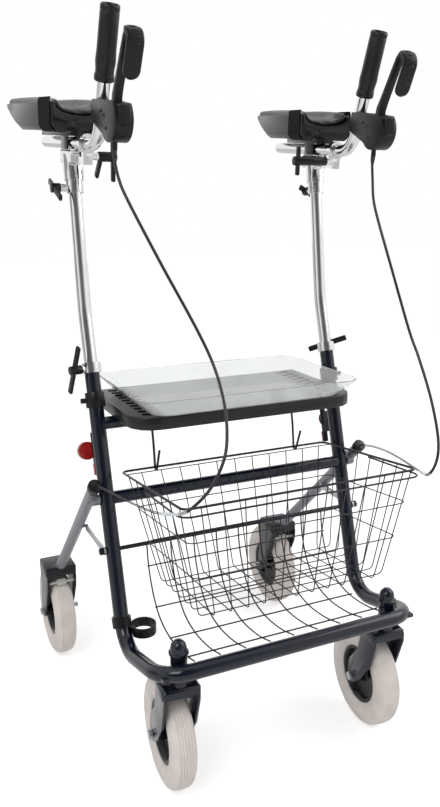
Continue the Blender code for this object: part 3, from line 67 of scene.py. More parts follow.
ahead = Vector((
    -math.sin(CAMERA_AZIMUTH) * math.cos(CAMERA_PITCH),
    math.cos(CAMERA_AZIMUTH) * math.cos(CAMERA_PITCH),
    -math.sin(CAMERA_PITCH),
))
level = Vector((math.cos(CAMERA_AZIMUTH), math.sin(CAMERA_AZIMUTH), 0))
upward = level.cross(ahead)
right = level * math.cos(CAMERA_ROLL) + upward * math.sin(CAMERA_ROLL)
above = upward * math.cos(CAMERA_ROLL) - level * math.sin(CAMERA_ROLL)
camera_data = bpy.data.cameras.new("camera")
camera_data.sensor_fit = "VERTICAL"
camera_data.sensor_height = SENSOR_HEIGHT
camera_data.sensor_width = SENSOR_HEIGHT
camera_data.lens = FOCAL_PIXELS / IMAGE_HEIGHT * SENSOR_HEIGHT
camera_data.clip_end = 60
camera = placed("camera", camera_data)
turn = Matrix((right, above, -ahead)).transposed().to_4x4()
camera.matrix_world = Matrix.Translation(CAMERA_PLACE) @ turn
bpy.context.scene.camera = camera
bpy.context.scene.view_settings.view_transform = "Standard"


# Floor and light: a pale studio floor, two soft lamps above, and a white room that metal and clear
# plastic reflect. A dim wall behind the camera and a dimmer strip at its left draw the dark lines on
# chrome.
FLOOR_SIZE = 14
FLOOR_DROP = 0.0002
FLOOR_GLOW = 0.42
ROOM_LEVEL = 0.62
WALL_EDGES = (0.55, 0.93)
WALL_LEVEL = 0.12
STRIP_EDGES = (-0.96, -0.90)
STRIP_LEVEL = 0.35
LAMP_AIM = (0, 0, 0.6)
KEY_WATTS = 34
FILL_WATTS = 22


class Signal:
    """An output of a shader node, which can be added to and multiplied like a number."""

    def __init__(self, tree, socket):
        self.tree = tree
        self.socket = socket

    def combined(self, operation, first, second):
        return node(self.tree, "ShaderNodeMath", {"operation": operation}, {0: first, 1: second})

    def __add__(self, other):
        return self.combined("ADD", self, other)

    def __radd__(self, other):
        return self.combined("ADD", other, self)

    def __sub__(self, other):
        return self.combined("SUBTRACT", self, other)

    def __rsub__(self, other):
        return self.combined("SUBTRACT", other, self)

    def __mul__(self, other):
        return self.combined("MULTIPLY", self, other)

    def __rmul__(self, other):
        return self.combined("MULTIPLY", other, self)

    def __lt__(self, other):
        return self.combined("LESS_THAN", self, other)

    def __gt__(self, other):
        return self.combined("GREATER_THAN", self, other)


def node(tree, kind, settings, values, output=0):
    """A shader node with its settings and then its inputs, given as values or as signals."""
    made = tree.nodes.new(kind)
    for name, value in settings.items():
        setattr(made, name, value)
    for name, value in values.items():
        if isinstance(value, Signal):
            tree.links.new(value.socket, made.inputs[name])
        else:
            made.inputs[name].default_value = value
    return Signal(tree, made.outputs[output])


def finish(name, colour, roughness, metallic=0.0, **sockets):
    """A new material, its tree, its Principled shader, and the place of each point on the piece."""
    made = bpy.data.materials.new(name)
    made.use_nodes = True
    shader = made.node_tree.nodes["Principled BSDF"]
    shader.inputs["Base Color"].default_value = (*colour, 1)
    shader.inputs["Roughness"].default_value = roughness
    shader.inputs["Metallic"].default_value = metallic
    for socket, value in sockets.items():
        shader.inputs[socket.replace("_", " ")].default_value = value
    place = node(made.node_tree, "ShaderNodeTexCoord", {}, {}, "Object")
    return made, made.node_tree, shader, place


def tint(tree, amount, dark, light):
    """A colour between two, by a signal from 0 to 1. Each of the two is three numbers or a signal."""
    ends = [shade if isinstance(shade, Signal) else (*shade, 1) for shade in (dark, light)]
    return node(tree, "ShaderNodeMix", {"data_type": "RGBA"}, {0: amount, 6: ends[0], 7: ends[1]}, 2)


def feed(tree, shader, **signals):
    for socket, signal in signals.items():
        tree.links.new(signal.socket, shader.inputs[socket.replace("_", " ")])


def ray(tree, kind):
    """1 for the rays of one kind, and 0 for all others."""
    return node(tree, "ShaderNodeLightPath", {}, {}, kind)


def soft_edge(tree, value, edges, levels=(0.0, 1.0)):
    """The first level below the first edge, the last above the last edge, and smooth between."""
    values = {"Value": value, "From Min": edges[0], "From Max": edges[1],
              "To Min": levels[0], "To Max": levels[1]}
    return node(tree, "ShaderNodeMapRange", {"interpolation_type": "SMOOTHSTEP"}, values)


def pointing(tree, direction, axis):
    """How far a direction points along an axis, from -1 to 1."""
    values = {0: direction, 1: tuple(axis)}
    return node(tree, "ShaderNodeVectorMath", {"operation": "DOT_PRODUCT"}, values, "Value")


work = bmesh.new()
bmesh.ops.create_grid(work, x_segments=1, y_segments=1, size=FLOOR_SIZE)
floor_mesh = bpy.data.meshes.new("floor")
work.to_mesh(floor_mesh)
work.free()
floor = placed("floor", floor_mesh)
floor.location.z = -FLOOR_DROP
pale, tree, shader, _ = finish("pale_floor", (0.93, 0.93, 0.93), 0.75, Specular_IOR_Level=0.1,
                               Emission_Strength=FLOOR_GLOW)
seen = ray(tree, "Is Camera Ray") + ray(tree, "Is Transmission Ray")
feed(tree, shader, Emission_Color=tint(tree, seen, (0, 0, 0), (1, 1, 1)))
floor_mesh.materials.append(pale)

world = bpy.data.worlds.new("studio")
bpy.context.scene.world = world
world.use_nodes = True
tree = world.node_tree
background = tree.nodes["Background"]
direction = node(tree, "ShaderNodeTexCoord", {}, {}, "Generated")
toward_camera = pointing(tree, direction, CAMERA_PLACE.normalized())
wall = soft_edge(tree, toward_camera, WALL_EDGES, (1.0, WALL_LEVEL))
strip = soft_edge(tree, pointing(tree, direction, level), STRIP_EDGES, (STRIP_LEVEL, 1.0))
white = ray(tree, "Is Camera Ray") + ray(tree, "Is Transmission Ray")
glossy = ray(tree, "Is Glossy Ray")
room = ROOM_LEVEL * (1 - glossy) * (1 - white)
mirrored = wall * strip * glossy * (1 - white)
feed(tree, background, Color=tint(tree, white + room + mirrored, (0, 0, 0), (1, 1, 1)))
background.inputs["Strength"].default_value = 1.0


def lamp(name, place, aim, size, watts):
    data = bpy.data.lights.new(name, "AREA")
    data.size = size
    data.energy = watts
    made = placed(name, data)
    made.location = place
    made.rotation_euler = (Vector(aim) - Vector(place)).to_track_quat("-Z", "Y").to_euler()


lamp("key", (-1.9, -1.6, 2.7), LAMP_AIM, 1.6, KEY_WATTS)
lamp("fill", (2.2, -0.8, 2.2), LAMP_AIM, 1.8, FILL_WATTS)


# Main frame: bent steel tube under gloss navy enamel, so dark that it reads black away from the light.
# The crossbars, the cross rod, the casters' sockets and their forks have the same coat.
SMOOTH_BELOW = 34
FLAT_BELOW = 1
WELD_WITHIN = 0.00001


def noise(tree, place, scale, detail=2.0):
    return node(tree, "ShaderNodeTexNoise", {}, {"Vector": place, "Scale": scale, "Detail": detail}, "Fac")


def relief(tree, shader, height, distance, strength=1.0):
    """Small ups and downs of the surface, in metres at full height."""
    values = {"Height": height, "Distance": distance, "Strength": strength}
    feed(tree, shader, Normal=node(tree, "ShaderNodeBump", {}, values))


def softener():
    """A node tree that makes the flats of round shapes shade as one surface."""
    tree = bpy.data.node_groups.new("soft_shading", "GeometryNodeTree")
    tree.interface.new_socket("Geometry", in_out="INPUT", socket_type="NodeSocketGeometry")
    tree.interface.new_socket("Geometry", in_out="OUTPUT", socket_type="NodeSocketGeometry")
    chain = [tree.nodes.new("NodeGroupInput"), tree.nodes.new("GeometryNodeRemoveAttribute"),
             tree.nodes.new("GeometryNodeSetShadeSmooth"), tree.nodes.new("GeometryNodeSetShadeSmooth"),
             tree.nodes.new("NodeGroupOutput")]
    chain[1].inputs["Name"].default_value = "custom_normal"
    chain[3].domain = "EDGE"
    for first, second in zip(chain, chain[1:]):
        tree.links.new(first.outputs[0], second.inputs[0])
    angle = tree.nodes.new("GeometryNodeInputMeshEdgeAngle")
    compare = tree.nodes.new("FunctionNodeCompare")
    compare.operation = "LESS_THAN"
    compare.inputs[1].default_value = math.radians(SMOOTH_BELOW)
    tree.links.new(angle.outputs[0], compare.inputs[0])
    tree.links.new(compare.outputs[0], chain[3].inputs["Shade Smooth"])
    return tree


def dress(look, *names, edge=0.0):
    """Gives CAD nodes their finish, soft shading and, where it is given, rounded edges."""
    for name in names:
        part = record_nodes[name]
        weld = part.modifiers.new("weld", "WELD")
        weld.merge_threshold = WELD_WITHIN
        if edge:
            flats = part.modifiers.new("flats", "DECIMATE")
            flats.decimate_type = "DISSOLVE"
            flats.angle_limit = math.radians(FLAT_BELOW)
            bevel = part.modifiers.new("edges", "BEVEL")
            bevel.width = edge
            bevel.segments = 2
            bevel.limit_method = "ANGLE"
            bevel.angle_limit = math.radians(SMOOTH_BELOW)
        part.modifiers.new("shading", "NODES").node_group = SOFTENER
        part.data.materials.clear()
        part.data.materials.append(look)
        for face in part.data.polygons:
            face.material_index = 0


navy, tree, shader, place = finish("navy_enamel", (0.004, 0.006, 0.016), 0.16, Coat_Weight=0.35,
                                   Coat_Roughness=0.04, Specular_IOR_Level=0.35)
cloudy = noise(tree, place, 14.0, 3.0)
feed(tree, shader, Base_Color=tint(tree, cloudy, (0.0025, 0.004, 0.010), (0.006, 0.009, 0.022)),
     Roughness=0.12 + 0.12 * noise(tree, place, 60.0, 4.0))
relief(tree, shader, noise(tree, place, 420.0, 1.0), 0.0004, 0.10)
SOFTENER = softener()
dress(navy, "frame_tube", "upper_crossbar", "middle_crossbar", "cross_rod")
dress(navy, "right_caster_fork", "left_caster_fork", edge=0.0012)


# Bright parts: steel in polished chrome with faint smears on the posts, their collars, the arm tubes and
# the clamping heads, and in duller zinc plate on the axles and the folding struts.
SIDES = (("right", -1), ("left", 1))

chrome, tree, shader, place = finish("chrome", (0.80, 0.80, 0.82), 0.07, 1.0)
smear = noise(tree, place, 35.0, 5.0)
feed(tree, shader, Roughness=0.05 + 0.09 * smear,
     Base_Color=tint(tree, smear, (0.72, 0.72, 0.74), (0.88, 0.88, 0.89)))
zinc, tree, shader, place = finish("zinc_plate", (0.52, 0.53, 0.55), 0.34, 1.0)
mottle = noise(tree, place, 160.0, 3.0)
feed(tree, shader, Roughness=0.26 + 0.22 * mottle,
     Base_Color=tint(tree, mottle, (0.40, 0.41, 0.43), (0.64, 0.64, 0.65)))
for label, side in SIDES:
    dress(chrome, f"{label}_post", f"{label}_arm_head", f"{label}_grip_tube", f"{label}_post_collar")
    dress(zinc, f"{label}_front_axle", f"{label}_rear_axle", f"{label}_strut")


# Small moulded parts: knobs, seat clamps, reflector brackets, brake housings, levers and the cane
# holder, all in black nylon with the fine spark-eroded grain of the mould.
nylon, tree, shader, place = finish("black_nylon", (0.010, 0.010, 0.011), 0.36, Specular_IOR_Level=0.28)
feed(tree, shader, Roughness=0.24 + 0.16 * noise(tree, place, 45.0, 3.0),
     Base_Color=tint(tree, noise(tree, place, 30.0), (0.004, 0.004, 0.005), (0.011, 0.011, 0.012)))
relief(tree, shader, noise(tree, place, 900.0, 2.0), 0.0002, 0.2)
for label, side in SIDES:
    dress(nylon, f"{label}_collar_knob", f"{label}_head_knob", f"{label}_clamp_knob", f"{label}_seat_clamp",
          f"{label}_reflector", edge=0.0008)
    dress(nylon, f"{label}_brake_housing", edge=0.0020)
dress(nylon, "cane_holder")


# Wheels: moulded grey tyres with five fine grooves round the tread, on black plastic rims with six
# stiffening ribs in each face. The casters trail behind their stems, the rear wheels sit under the legs.
CASTER_PLACE = (0.2106, -0.2943, 0.2)
CASTER_TURN = -3.3
CASTER_TRAIL = 0.061
CASTER_DROP = 0.1
REAR_PLACE = (0.2831, 0.2871, 0.1)
WHEEL_RADIUS = 0.0999
RIM_RADIUS = 0.056
TREAD_GROOVES = (-0.0108, -0.0054, 0.0, 0.0054, 0.0108)
GROOVE_DEPTH = 0.0009
GROOVE_HALF = 0.0007
CROWN_CURVE = 9.0
RIBS = 6
RIB_HALF = 0.0016
RIB_OUTLINE = ((0.0120, 0.0040), (0.0120, 0.0225), (0.0180, 0.0190), (0.0480, 0.0125), (0.0500, 0.0040))


class Stock:
    """Points and faces of one piece while it is being made."""

    def __init__(self):
        self.points = []
        self.faces = []

    def add(self, points, faces):
        start = len(self.points)
        self.points += [Vector(point) for point in points]
        self.faces += [[start + index for index in face] for face in faces]

    def skin(self, rings, round_trip=False, capped=True):
        """A skin through rings of points, open or going round to the first ring again."""
        size = len(rings[0])
        faces = []
        count = len(rings)
        for row in range(count if round_trip else count - 1):
            following = (row + 1) % count
            for index in range(size):
                beside = (index + 1) % size
                faces.append((row * size + index, row * size + beside, following * size + beside,
                              following * size + index))
        if capped and not round_trip:
            faces += [range(size), range((count - 1) * size, count * size)]
        self.add([point for ring in rings for point in ring], faces)

    def rod(self, route, radius, sides=8, closed=False):
        """Round bar along a route. The radius is one number, or one for each point."""
        route = [Vector(point) for point in route]
        count = len(route)
        radii = radius if isinstance(radius, (list, tuple)) else [radius] * count
        rings = []
        across = None
        for index, point in enumerate(route):
            if closed:
                along = route[(index + 1) % count] - route[index - 1]
            else:
                along = route[min(index + 1, count - 1)] - route[max(index - 1, 0)]
            along.normalize()
            across = along.orthogonal() if across is None else across - along * across.dot(along)
            across.normalize()
            beside = along.cross(across)
            ring = []
            for step in range(sides):
                angle = math.tau * step / sides
                ring.append(point + (across * math.cos(angle) + beside * math.sin(angle)) * radii[index])
            rings.append(ring)
        self.skin(rings, closed)

    def turned(self, profile, matrix, sides=64, closed=False):
        """A body turned on a lathe about Z, from (radius, height) pairs."""
        rings = []
        for radius, height in profile:
            ring = []
            for step in range(sides):
                angle = math.tau * step / sides
                ring.append(matrix @ Vector((radius * math.cos(angle), radius * math.sin(angle), height)))
            rings.append(ring)
        self.skin(rings, closed)

    def slab(self, outline, low, high, matrix):
        """A flat part with an outline in X and Y, from one height to another."""
        rings = []
        for height in (low, high):
            rings.append([matrix @ Vector((x, y, height)) for x, y in outline])
        self.skin(rings)

    def pebble(self, half_sizes, matrix, steps=10):
        """A rounded boss with the given half sizes."""
        rings = []
        for row in range(steps + 1):
            tilt = math.pi * row / steps
            ring = []
            for step in range(steps * 2):
                angle = math.pi * step / steps
                point = (math.sin(tilt) * math.cos(angle), math.sin(tilt) * math.sin(angle), math.cos(tilt))
                ring.append(matrix @ Vector([size * share for size, share in zip(half_sizes, point)]))
            rings.append(ring)
        self.skin(rings, capped=False)

    def object(self, name, look, crease=38, rounding=0.0):
        """The object made of these points and faces, in the scene."""
        mesh = bpy.data.meshes.new(name)
        mesh.from_pydata([tuple(point) for point in self.points], [], self.faces)
        shape = bmesh.new()
        shape.from_mesh(mesh)
        bmesh.ops.remove_doubles(shape, verts=shape.verts, dist=0.000002)
        bmesh.ops.dissolve_degenerate(shape, edges=shape.edges, dist=0.000002)
        if rounding:
            sharp = [edge for edge in shape.edges if edge.calc_face_angle(0) > math.radians(crease)]
            bmesh.ops.bevel(shape, geom=sharp, offset=rounding, segments=2, affect="EDGES", profile=0.6,
                            clamp_overlap=True)
        bmesh.ops.recalc_face_normals(shape, faces=shape.faces)
        shape.to_mesh(mesh)
        shape.free()
        for face in mesh.polygons:
            face.use_smooth = True
        mesh.set_sharp_from_angle(angle=math.radians(crease))
        mesh.materials.append(look)
        return placed(name, mesh)

    def piece(self, name, look, body, *nodes, **shaping):
        """The finished piece, riding on its body and standing for its CAD nodes."""
        made = self.object(name, look, **shaping)
        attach(made, body)
        if nodes:
            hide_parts(*nodes)
        return made


def about(axis, degrees):
    return Matrix.Rotation(math.radians(degrees), 4, axis)


def shift(x, y, z):
    return Matrix.Translation((x, y, z))


tyre_grey, tree, shader, place = finish("grey_tyre", (0.70, 0.65, 0.61), 0.62)
scuffs = noise(tree, place, 38.0, 6.0)
feed(tree, shader, Roughness=0.50 + 0.22 * scuffs,
     Base_Color=tint(tree, scuffs, (0.58, 0.53, 0.50), (0.82, 0.76, 0.72)))
relief(tree, shader, noise(tree, place, 700.0, 2.0), 0.0003, 0.4)
rim_black, tree, shader, place = finish("rim_black", (0.006, 0.006, 0.007), 0.28, Specular_IOR_Level=0.3)
feed(tree, shader, Roughness=0.20 + 0.20 * noise(tree, place, 50.0, 3.0),
     Base_Color=tint(tree, noise(tree, place, 25.0), (0.004, 0.004, 0.005), (0.009, 0.009, 0.010)))

tread = []
for centre in TREAD_GROOVES:
    crown = WHEEL_RADIUS - CROWN_CURVE * centre * centre
    foot = crown - GROOVE_DEPTH
    tread += [(crown, centre - 2 * GROOVE_HALF), (crown, centre - GROOVE_HALF),
              (foot, centre - 0.4 * GROOVE_HALF), (foot, centre + 0.4 * GROOVE_HALF),
              (crown, centre + GROOVE_HALF), (crown, centre + 2 * GROOVE_HALF)]
shoulder = [(0.0975, 0.0150), (0.0950, 0.0178), (0.0915, 0.0200), (0.0870, 0.0218), (0.0820, 0.0228),
            (0.0760, 0.0231), (0.0700, 0.0226), (0.0640, 0.0210), (0.0632, 0.0202), (0.0622, 0.0208),
            (0.0590, 0.0192), (RIM_RADIUS + 0.0006, 0.0170), (RIM_RADIUS + 0.0003, 0.0150)]
tyre_profile = [(radius, -height) for radius, height in shoulder[::-1]] + tread + shoulder
face_profile = [(0.0064, 0.0275), (0.0125, 0.0275), (0.0136, 0.0266), (0.0150, 0.0080), (0.0180, 0.0048),
                (0.0420, 0.0048), (0.0460, 0.0062), (0.0490, 0.0150), (0.0500, 0.0163), (0.0530, 0.0168),
                (0.0556, 0.0162), (0.0560, 0.0150)]
rim_profile = face_profile + [(radius, -height) for radius, height in face_profile[::-1]]
across = about("Y", 90)
for label, side in SIDES:
    x, y, z = CASTER_PLACE
    caster = shift(side * x, y, z) @ about("Z", CASTER_TURN) @ shift(0, CASTER_TRAIL, -CASTER_DROP)
    x, y, z = REAR_PLACE
    for end, wheel in (("front", caster), ("rear", shift(side * x, y, z))):
        body = f"{label}_{end}_wheel"
        tyre = Stock()
        tyre.turned(tyre_profile, wheel @ across, 96, closed=True)
        tyre.piece(f"{label}_{end}_tyre_ribbed", tyre_grey, body, f"{label}_{end}_tyre", crease=32)
        rim = Stock()
        rim.turned(rim_profile, wheel @ across, 72, closed=True)
        for index in range(RIBS):
            spoke = wheel @ about("X", 360 * index / RIBS)
            for face in (-1, 1):
                rib = [(radius, face * height) for radius, height in RIB_OUTLINE]
                upright = spoke @ about("X", 90) @ about("Y", -90) @ about("Z", 90)
                rim.slab(rib, -RIB_HALF, RIB_HALF, upright)
        rim.piece(f"{label}_{end}_rim_ribbed", rim_black, body, f"{label}_{end}_rim")


# Rear legs: silver-grey enamelled tubes that hinge on the main frame, with a black wheel fork pressed on
# below. The top end is dark: a black plug, and painted shade carried on down the tube past it. The pale
# block above each tyre is the brake shoe.
FORK_TOP = 0.2330
CAP_AND_SHADE_FRONT = -0.0765


def axis_of(tree, place, name):
    """One coordinate of a place."""
    return node(tree, "ShaderNodeSeparateXYZ", {}, {"Vector": place}, name)


silver, tree, shader, place = finish("silver_enamel", (0.20, 0.21, 0.23), 0.26, 0.5, Coat_Weight=0.15,
                                     Specular_IOR_Level=0.3)
# Dark on the black fork, and at the leg's top end: the black plug, drawn long as painted shade down the tube.
dark = (axis_of(tree, place, "Z") < FORK_TOP) + (axis_of(tree, place, "Y") < CAP_AND_SHADE_FRONT)
tube_grey = tint(tree, noise(tree, place, 300.0, 2.0), (0.17, 0.18, 0.20), (0.27, 0.28, 0.30))
feed(tree, shader, Base_Color=tint(tree, dark, tube_grey, (0.004, 0.005, 0.008)),
     Metallic=0.5 * (1 - dark), Roughness=0.24 + 0.14 * noise(tree, place, 40.0, 3.0))
shoe_grey, tree, shader, place = finish("shoe_grey", (0.50, 0.50, 0.47), 0.5)
speckle = noise(tree, place, 200.0, 3.0)
feed(tree, shader, Base_Color=tint(tree, speckle, (0.42, 0.42, 0.39), (0.60, 0.60, 0.57)))
for label, side in SIDES:
    dress(silver, f"{label}_rear_leg", edge=0.0012)
    dress(shoe_grey, f"{label}_brake_shoe")


# Grille: round wires slung between the cross rod and the front tube, in dark coated steel like the basket.
# The side profile is in Y and height, measured from the chassis.
CHASSIS = shift(0, -0.2966, 0.2)
GRILLE_PROFILE = ((0.20674, 0.1960), (0.2000, 0.1560), (0.1780, 0.1080), (0.1420, 0.0740), (0.0900, 0.0620),
                  (0.0300, 0.0665), (-0.01586, 0.07863))
GRILLE_HALF = 0.19
GRILLE_WIRE = 0.0014
GRILLE_WIRES = 9
GRILLE_CROSSINGS = (0.199, 0.165, 0.090, 0.008)
CROSSING_LIFT = 1.7 * GRILLE_WIRE
CROSSING_HALF = GRILLE_HALF + 0.003

wire_black, tree, shader, place = finish("coated_wire", (0.022, 0.024, 0.030), 0.26, 0.35)
feed(tree, shader, Roughness=0.24 + 0.16 * noise(tree, place, 90.0, 3.0),
     Base_Color=tint(tree, noise(tree, place, 50.0), (0.014, 0.015, 0.020), (0.034, 0.036, 0.042)))


def smooth_route(points, spacing):
    """Points about one spacing apart on a smooth curve through the route's points."""
    points = [Vector(point) for point in points]
    ends = [2 * points[0] - points[1]] + points + [2 * points[-1] - points[-2]]
    found = [[points[0]]]
    for index in range(1, len(ends) - 2):
        p0, p1, p2, p3 = ends[index - 1:index + 3]
        count = max(1, round((p2 - p1).length / spacing))
        stretch = []
        for step in range(1, count + 1):
            t = step / count
            cubic = (3 * p1 - p0 - 3 * p2 + p3) * t ** 3
            stretch.append(0.5 * (2 * p1 + (p2 - p0) * t + (2 * p0 - 5 * p1 + 4 * p2 - p3) * t ** 2 + cubic))
        found.append(stretch)
    return found


coarse = [Vector((0, y, z)) for y, z in GRILLE_PROFILE]
fine = [point for stretch in smooth_route(coarse, 0.012) for point in stretch]
grille = Stock()
for index in range(GRILLE_WIRES):
    x = GRILLE_HALF * (2 * index / (GRILLE_WIRES - 1) - 1)
    grille.rod([CHASSIS @ Vector((x, point.y, point.z)) for point in fine], GRILLE_WIRE, 10)
for crossing in GRILLE_CROSSINGS:
    index = min(range(1, len(fine) - 1), key=lambda number: abs(fine[number].y - crossing))
    along = (fine[index + 1] - fine[index - 1]).normalized()
    point = fine[index] + along.cross(Vector((1, 0, 0))) * CROSSING_LIFT
    bar = [CHASSIS @ Vector((x, point.y, point.z)) for x in (-CROSSING_HALF, 0, CROSSING_HALF)]
    grille.rod(bar, GRILLE_WIRE, 10)
grille.piece("grille_wires", wire_black, "frame", "front_grille")


# Basket: welded from dark coated wire, with a thicker rim, two hoops round the walls, eleven wires bent
# front to back and seven side to side. The carrying bail lies folded along the front rim.
RIM_HALF = 0.2200
REAR_RIM = (0.2522, 0.3293)
FRONT_RIM = (-0.0510, 0.3635)
REAR_WALL = 0.2235
BOTTOM_HALF = 0.1810
FRONT_BOTTOM = (-0.0255, 0.1575)
REAR_BOTTOM = (0.1645, 0.1390)
RIM_WIRE = 0.0022
MESH_WIRE = 0.0010
BAIL_WIRE = 0.0017
HOOP_SHARES = (0.30, 0.62)
HOOP_BEND = 0.014
WIRE_BEND = 0.010
BAIL_BEND = 0.020
LONG_WIRES = 11
LONG_SPREAD = 0.8649
CROSS_WIRES = 7
CROSS_MARGIN = 0.35


def rounded(points, radius, steps=5, closed=False):
    """The route through points, with its corners rounded."""
    points = [Vector(point) for point in points]
    count = len(points)
    corners = range(count) if closed else range(1, count - 1)
    route = [] if closed else [points[0]]
    for index in corners:
        before, corner, after = points[index - 1], points[index], points[(index + 1) % count]
        back = (before - corner).normalized()
        onward = (after - corner).normalized()
        half = back.angle(onward) / 2
        centre = corner + (back + onward).normalized() * radius / math.sin(half)
        first = corner + back * radius / math.tan(half) - centre
        last = corner + onward * radius / math.tan(half) - centre
        sweep = math.pi - 2 * half
        for step in range(steps + 1):
            share = step / steps
            bend = first * math.sin((1 - share) * sweep) + last * math.sin(share * sweep)
            route.append(centre + bend / math.sin(sweep))
    return route if closed else route + [points[-1]]


def rim_height(y):
    share = (y - FRONT_RIM[0]) / (REAR_RIM[0] - FRONT_RIM[0])
    return FRONT_RIM[1] + (REAR_RIM[1] - FRONT_RIM[1]) * share


def wall_corners(share):
    """The four corners of the wire walls, at a share of the way down from the rim to the bottom."""
    found = []
    rear_top = (REAR_WALL, rim_height(REAR_WALL))
    for (top_y, top_z), (low_y, low_z) in ((FRONT_RIM, FRONT_BOTTOM), (rear_top, REAR_BOTTOM)):
        half = RIM_HALF + (BOTTOM_HALF - RIM_HALF) * share
        y = top_y + (low_y - top_y) * share
        z = top_z + (low_z - top_z) * share
        found.append((half, y, z))
    (front, front_y, front_z), (rear, rear_y, rear_z) = found
    return [(-front, front_y, front_z), (front, front_y, front_z),
            (rear, rear_y, rear_z), (-rear, rear_y, rear_z)]


basket = Stock()


def basket_wire(points, radius, bend, closed=False):
    route = rounded(points, bend, closed=closed)
    basket.rod([CHASSIS @ point for point in route], radius, closed=closed)


rim_corners = [(-RIM_HALF, *FRONT_RIM), (RIM_HALF, *FRONT_RIM), (RIM_HALF, *REAR_RIM), (-RIM_HALF, *REAR_RIM)]
basket_wire(rim_corners, RIM_WIRE, HOOP_BEND, closed=True)
for share in HOOP_SHARES:
    basket_wire(wall_corners(share), MESH_WIRE, HOOP_BEND, closed=True)
top = wall_corners(0)
low = wall_corners(1)
basket_wire([top[3], top[2]], MESH_WIRE, WIRE_BEND)
for index in range(LONG_WIRES):
    x = LONG_SPREAD * (2 * index / (LONG_WIRES - 1) - 1)
    points = []
    for half, y, z in ((RIM_HALF, *top[0][1:]), (BOTTOM_HALF, *low[0][1:]),
                       (BOTTOM_HALF, *low[3][1:]), (RIM_HALF, *top[3][1:])):
        points.append((x * half, y, z))
    basket_wire(points, MESH_WIRE, WIRE_BEND)
for index in range(CROSS_WIRES):
    share = (index + CROSS_MARGIN) / (CROSS_WIRES - 1 + 2 * CROSS_MARGIN)
    y_top = top[0][1] + (top[3][1] - top[0][1]) * share
    y_low = low[0][1] + (low[3][1] - low[0][1]) * share
    z_low = low[0][2] + (low[3][2] - low[0][2]) * share + 2 * MESH_WIRE
    points = [(-RIM_HALF, y_top, rim_height(y_top)), (-BOTTOM_HALF, y_low, z_low),
              (BOTTOM_HALF, y_low, z_low), (RIM_HALF, y_top, rim_height(y_top))]
    basket_wire(points, MESH_WIRE, WIRE_BEND)
basket.piece("basket_wires", wire_black, "basket", "basket")
bail = Stock()
bail_route = [(-0.2256, 0.1000, 0.3406), (-0.2256, -0.0574, 0.3525), (0.2256, -0.0574, 0.3525),
              (0.2256, 0.1000, 0.3406)]
bail.rod([CHASSIS @ point for point in rounded(bail_route, BAIL_BEND, 8)], BAIL_WIRE, 10)
bail.piece("basket_bail", wire_black, "basket_handle", "basket_handle")


# Seat: a black moulded panel with a rolled front edge, a grained grey field in its middle and rows of slots
# down both borders. The slots are not cut but drawn as thin near-black sheets of painted shade. The clear
# tray stands on the seat.
FIELD_SIDES = (0.150, 0.154)
FIELD_FRONT = (-0.126, -0.122)
FIELD_REAR = (0.072, 0.076)
FIELD_BOTTOM = 0.6545
SLOTS = 10
SLOT_PLACE = (0.1860, -0.1280, 0.65655)
SLOT_STEP = 0.0222
SLOT_TURN = 22
SLOT_OUTLINE = ((-0.0180, -0.0046), (0.0180, -0.0046), (0.0180, 0.0046), (-0.0180, 0.0046))
SLOT_HEIGHT = 0.0003


def maths(tree, operation, value):
    return node(tree, "ShaderNodeMath", {"operation": operation}, {0: value})


seat_black, tree, shader, place = finish("seat_plastic", (0.010, 0.010, 0.011), 0.30,
                                         Specular_IOR_Level=0.4)
beside = maths(tree, "ABSOLUTE", axis_of(tree, place, "X"))
depth = axis_of(tree, place, "Y")
upper_face = axis_of(tree, place, "Z") > FIELD_BOTTOM
field = (1 - soft_edge(tree, beside, FIELD_SIDES)) * soft_edge(tree, depth, FIELD_FRONT)
field = field * (1 - soft_edge(tree, depth, FIELD_REAR)) * upper_face
feed(tree, shader, Base_Color=tint(tree, field, (0.008, 0.008, 0.009), (0.17, 0.17, 0.175)),
     Roughness=0.24 + 0.14 * field + 0.10 * noise(tree, place, 30.0, 3.0))
relief(tree, shader, noise(tree, place, 520.0, 2.0) * 0.25 - 0.3 * field, 0.0010, 0.5)
dress(seat_black, "seat", edge=0.0010)
# Painted shade: each slot is a flat near-black sheet laid on the seat's face where the hole shows dark.
slot_shade, tree, shader, place = finish("slot_shadow", (0.001, 0.001, 0.001), 0.9, Specular_IOR_Level=0.0)
feed(tree, shader, Roughness=0.8 + 0.2 * noise(tree, place, 300.0, 2.0))
slots = Stock()
x, y, z = SLOT_PLACE
for _, side in SIDES:
    for index in range(SLOTS):
        middle = shift(side * x, y + SLOT_STEP * index, z) @ about("Z", side * SLOT_TURN)
        slots.slab(SLOT_OUTLINE, 0.0, SLOT_HEIGHT, middle)
slots.piece("seat_slot_shade", slot_shade, "seat")


# Tray: one clear plastic moulding with sloping walls, 2.5 mm thick and unevenly milky. It stands loose
# on the seat and lifts straight off.
clear, tree, shader, place = finish("clear_tray", (0.90, 0.92, 0.92), 0.06, Transmission_Weight=0.84,
                                    IOR=1.35)
haze = noise(tree, place, 22.0, 5.0)
feed(tree, shader, Roughness=0.04 + 0.08 * haze,
     Base_Color=tint(tree, haze, (0.88, 0.90, 0.90), (0.95, 0.96, 0.96)))
dress(clear, "tray")
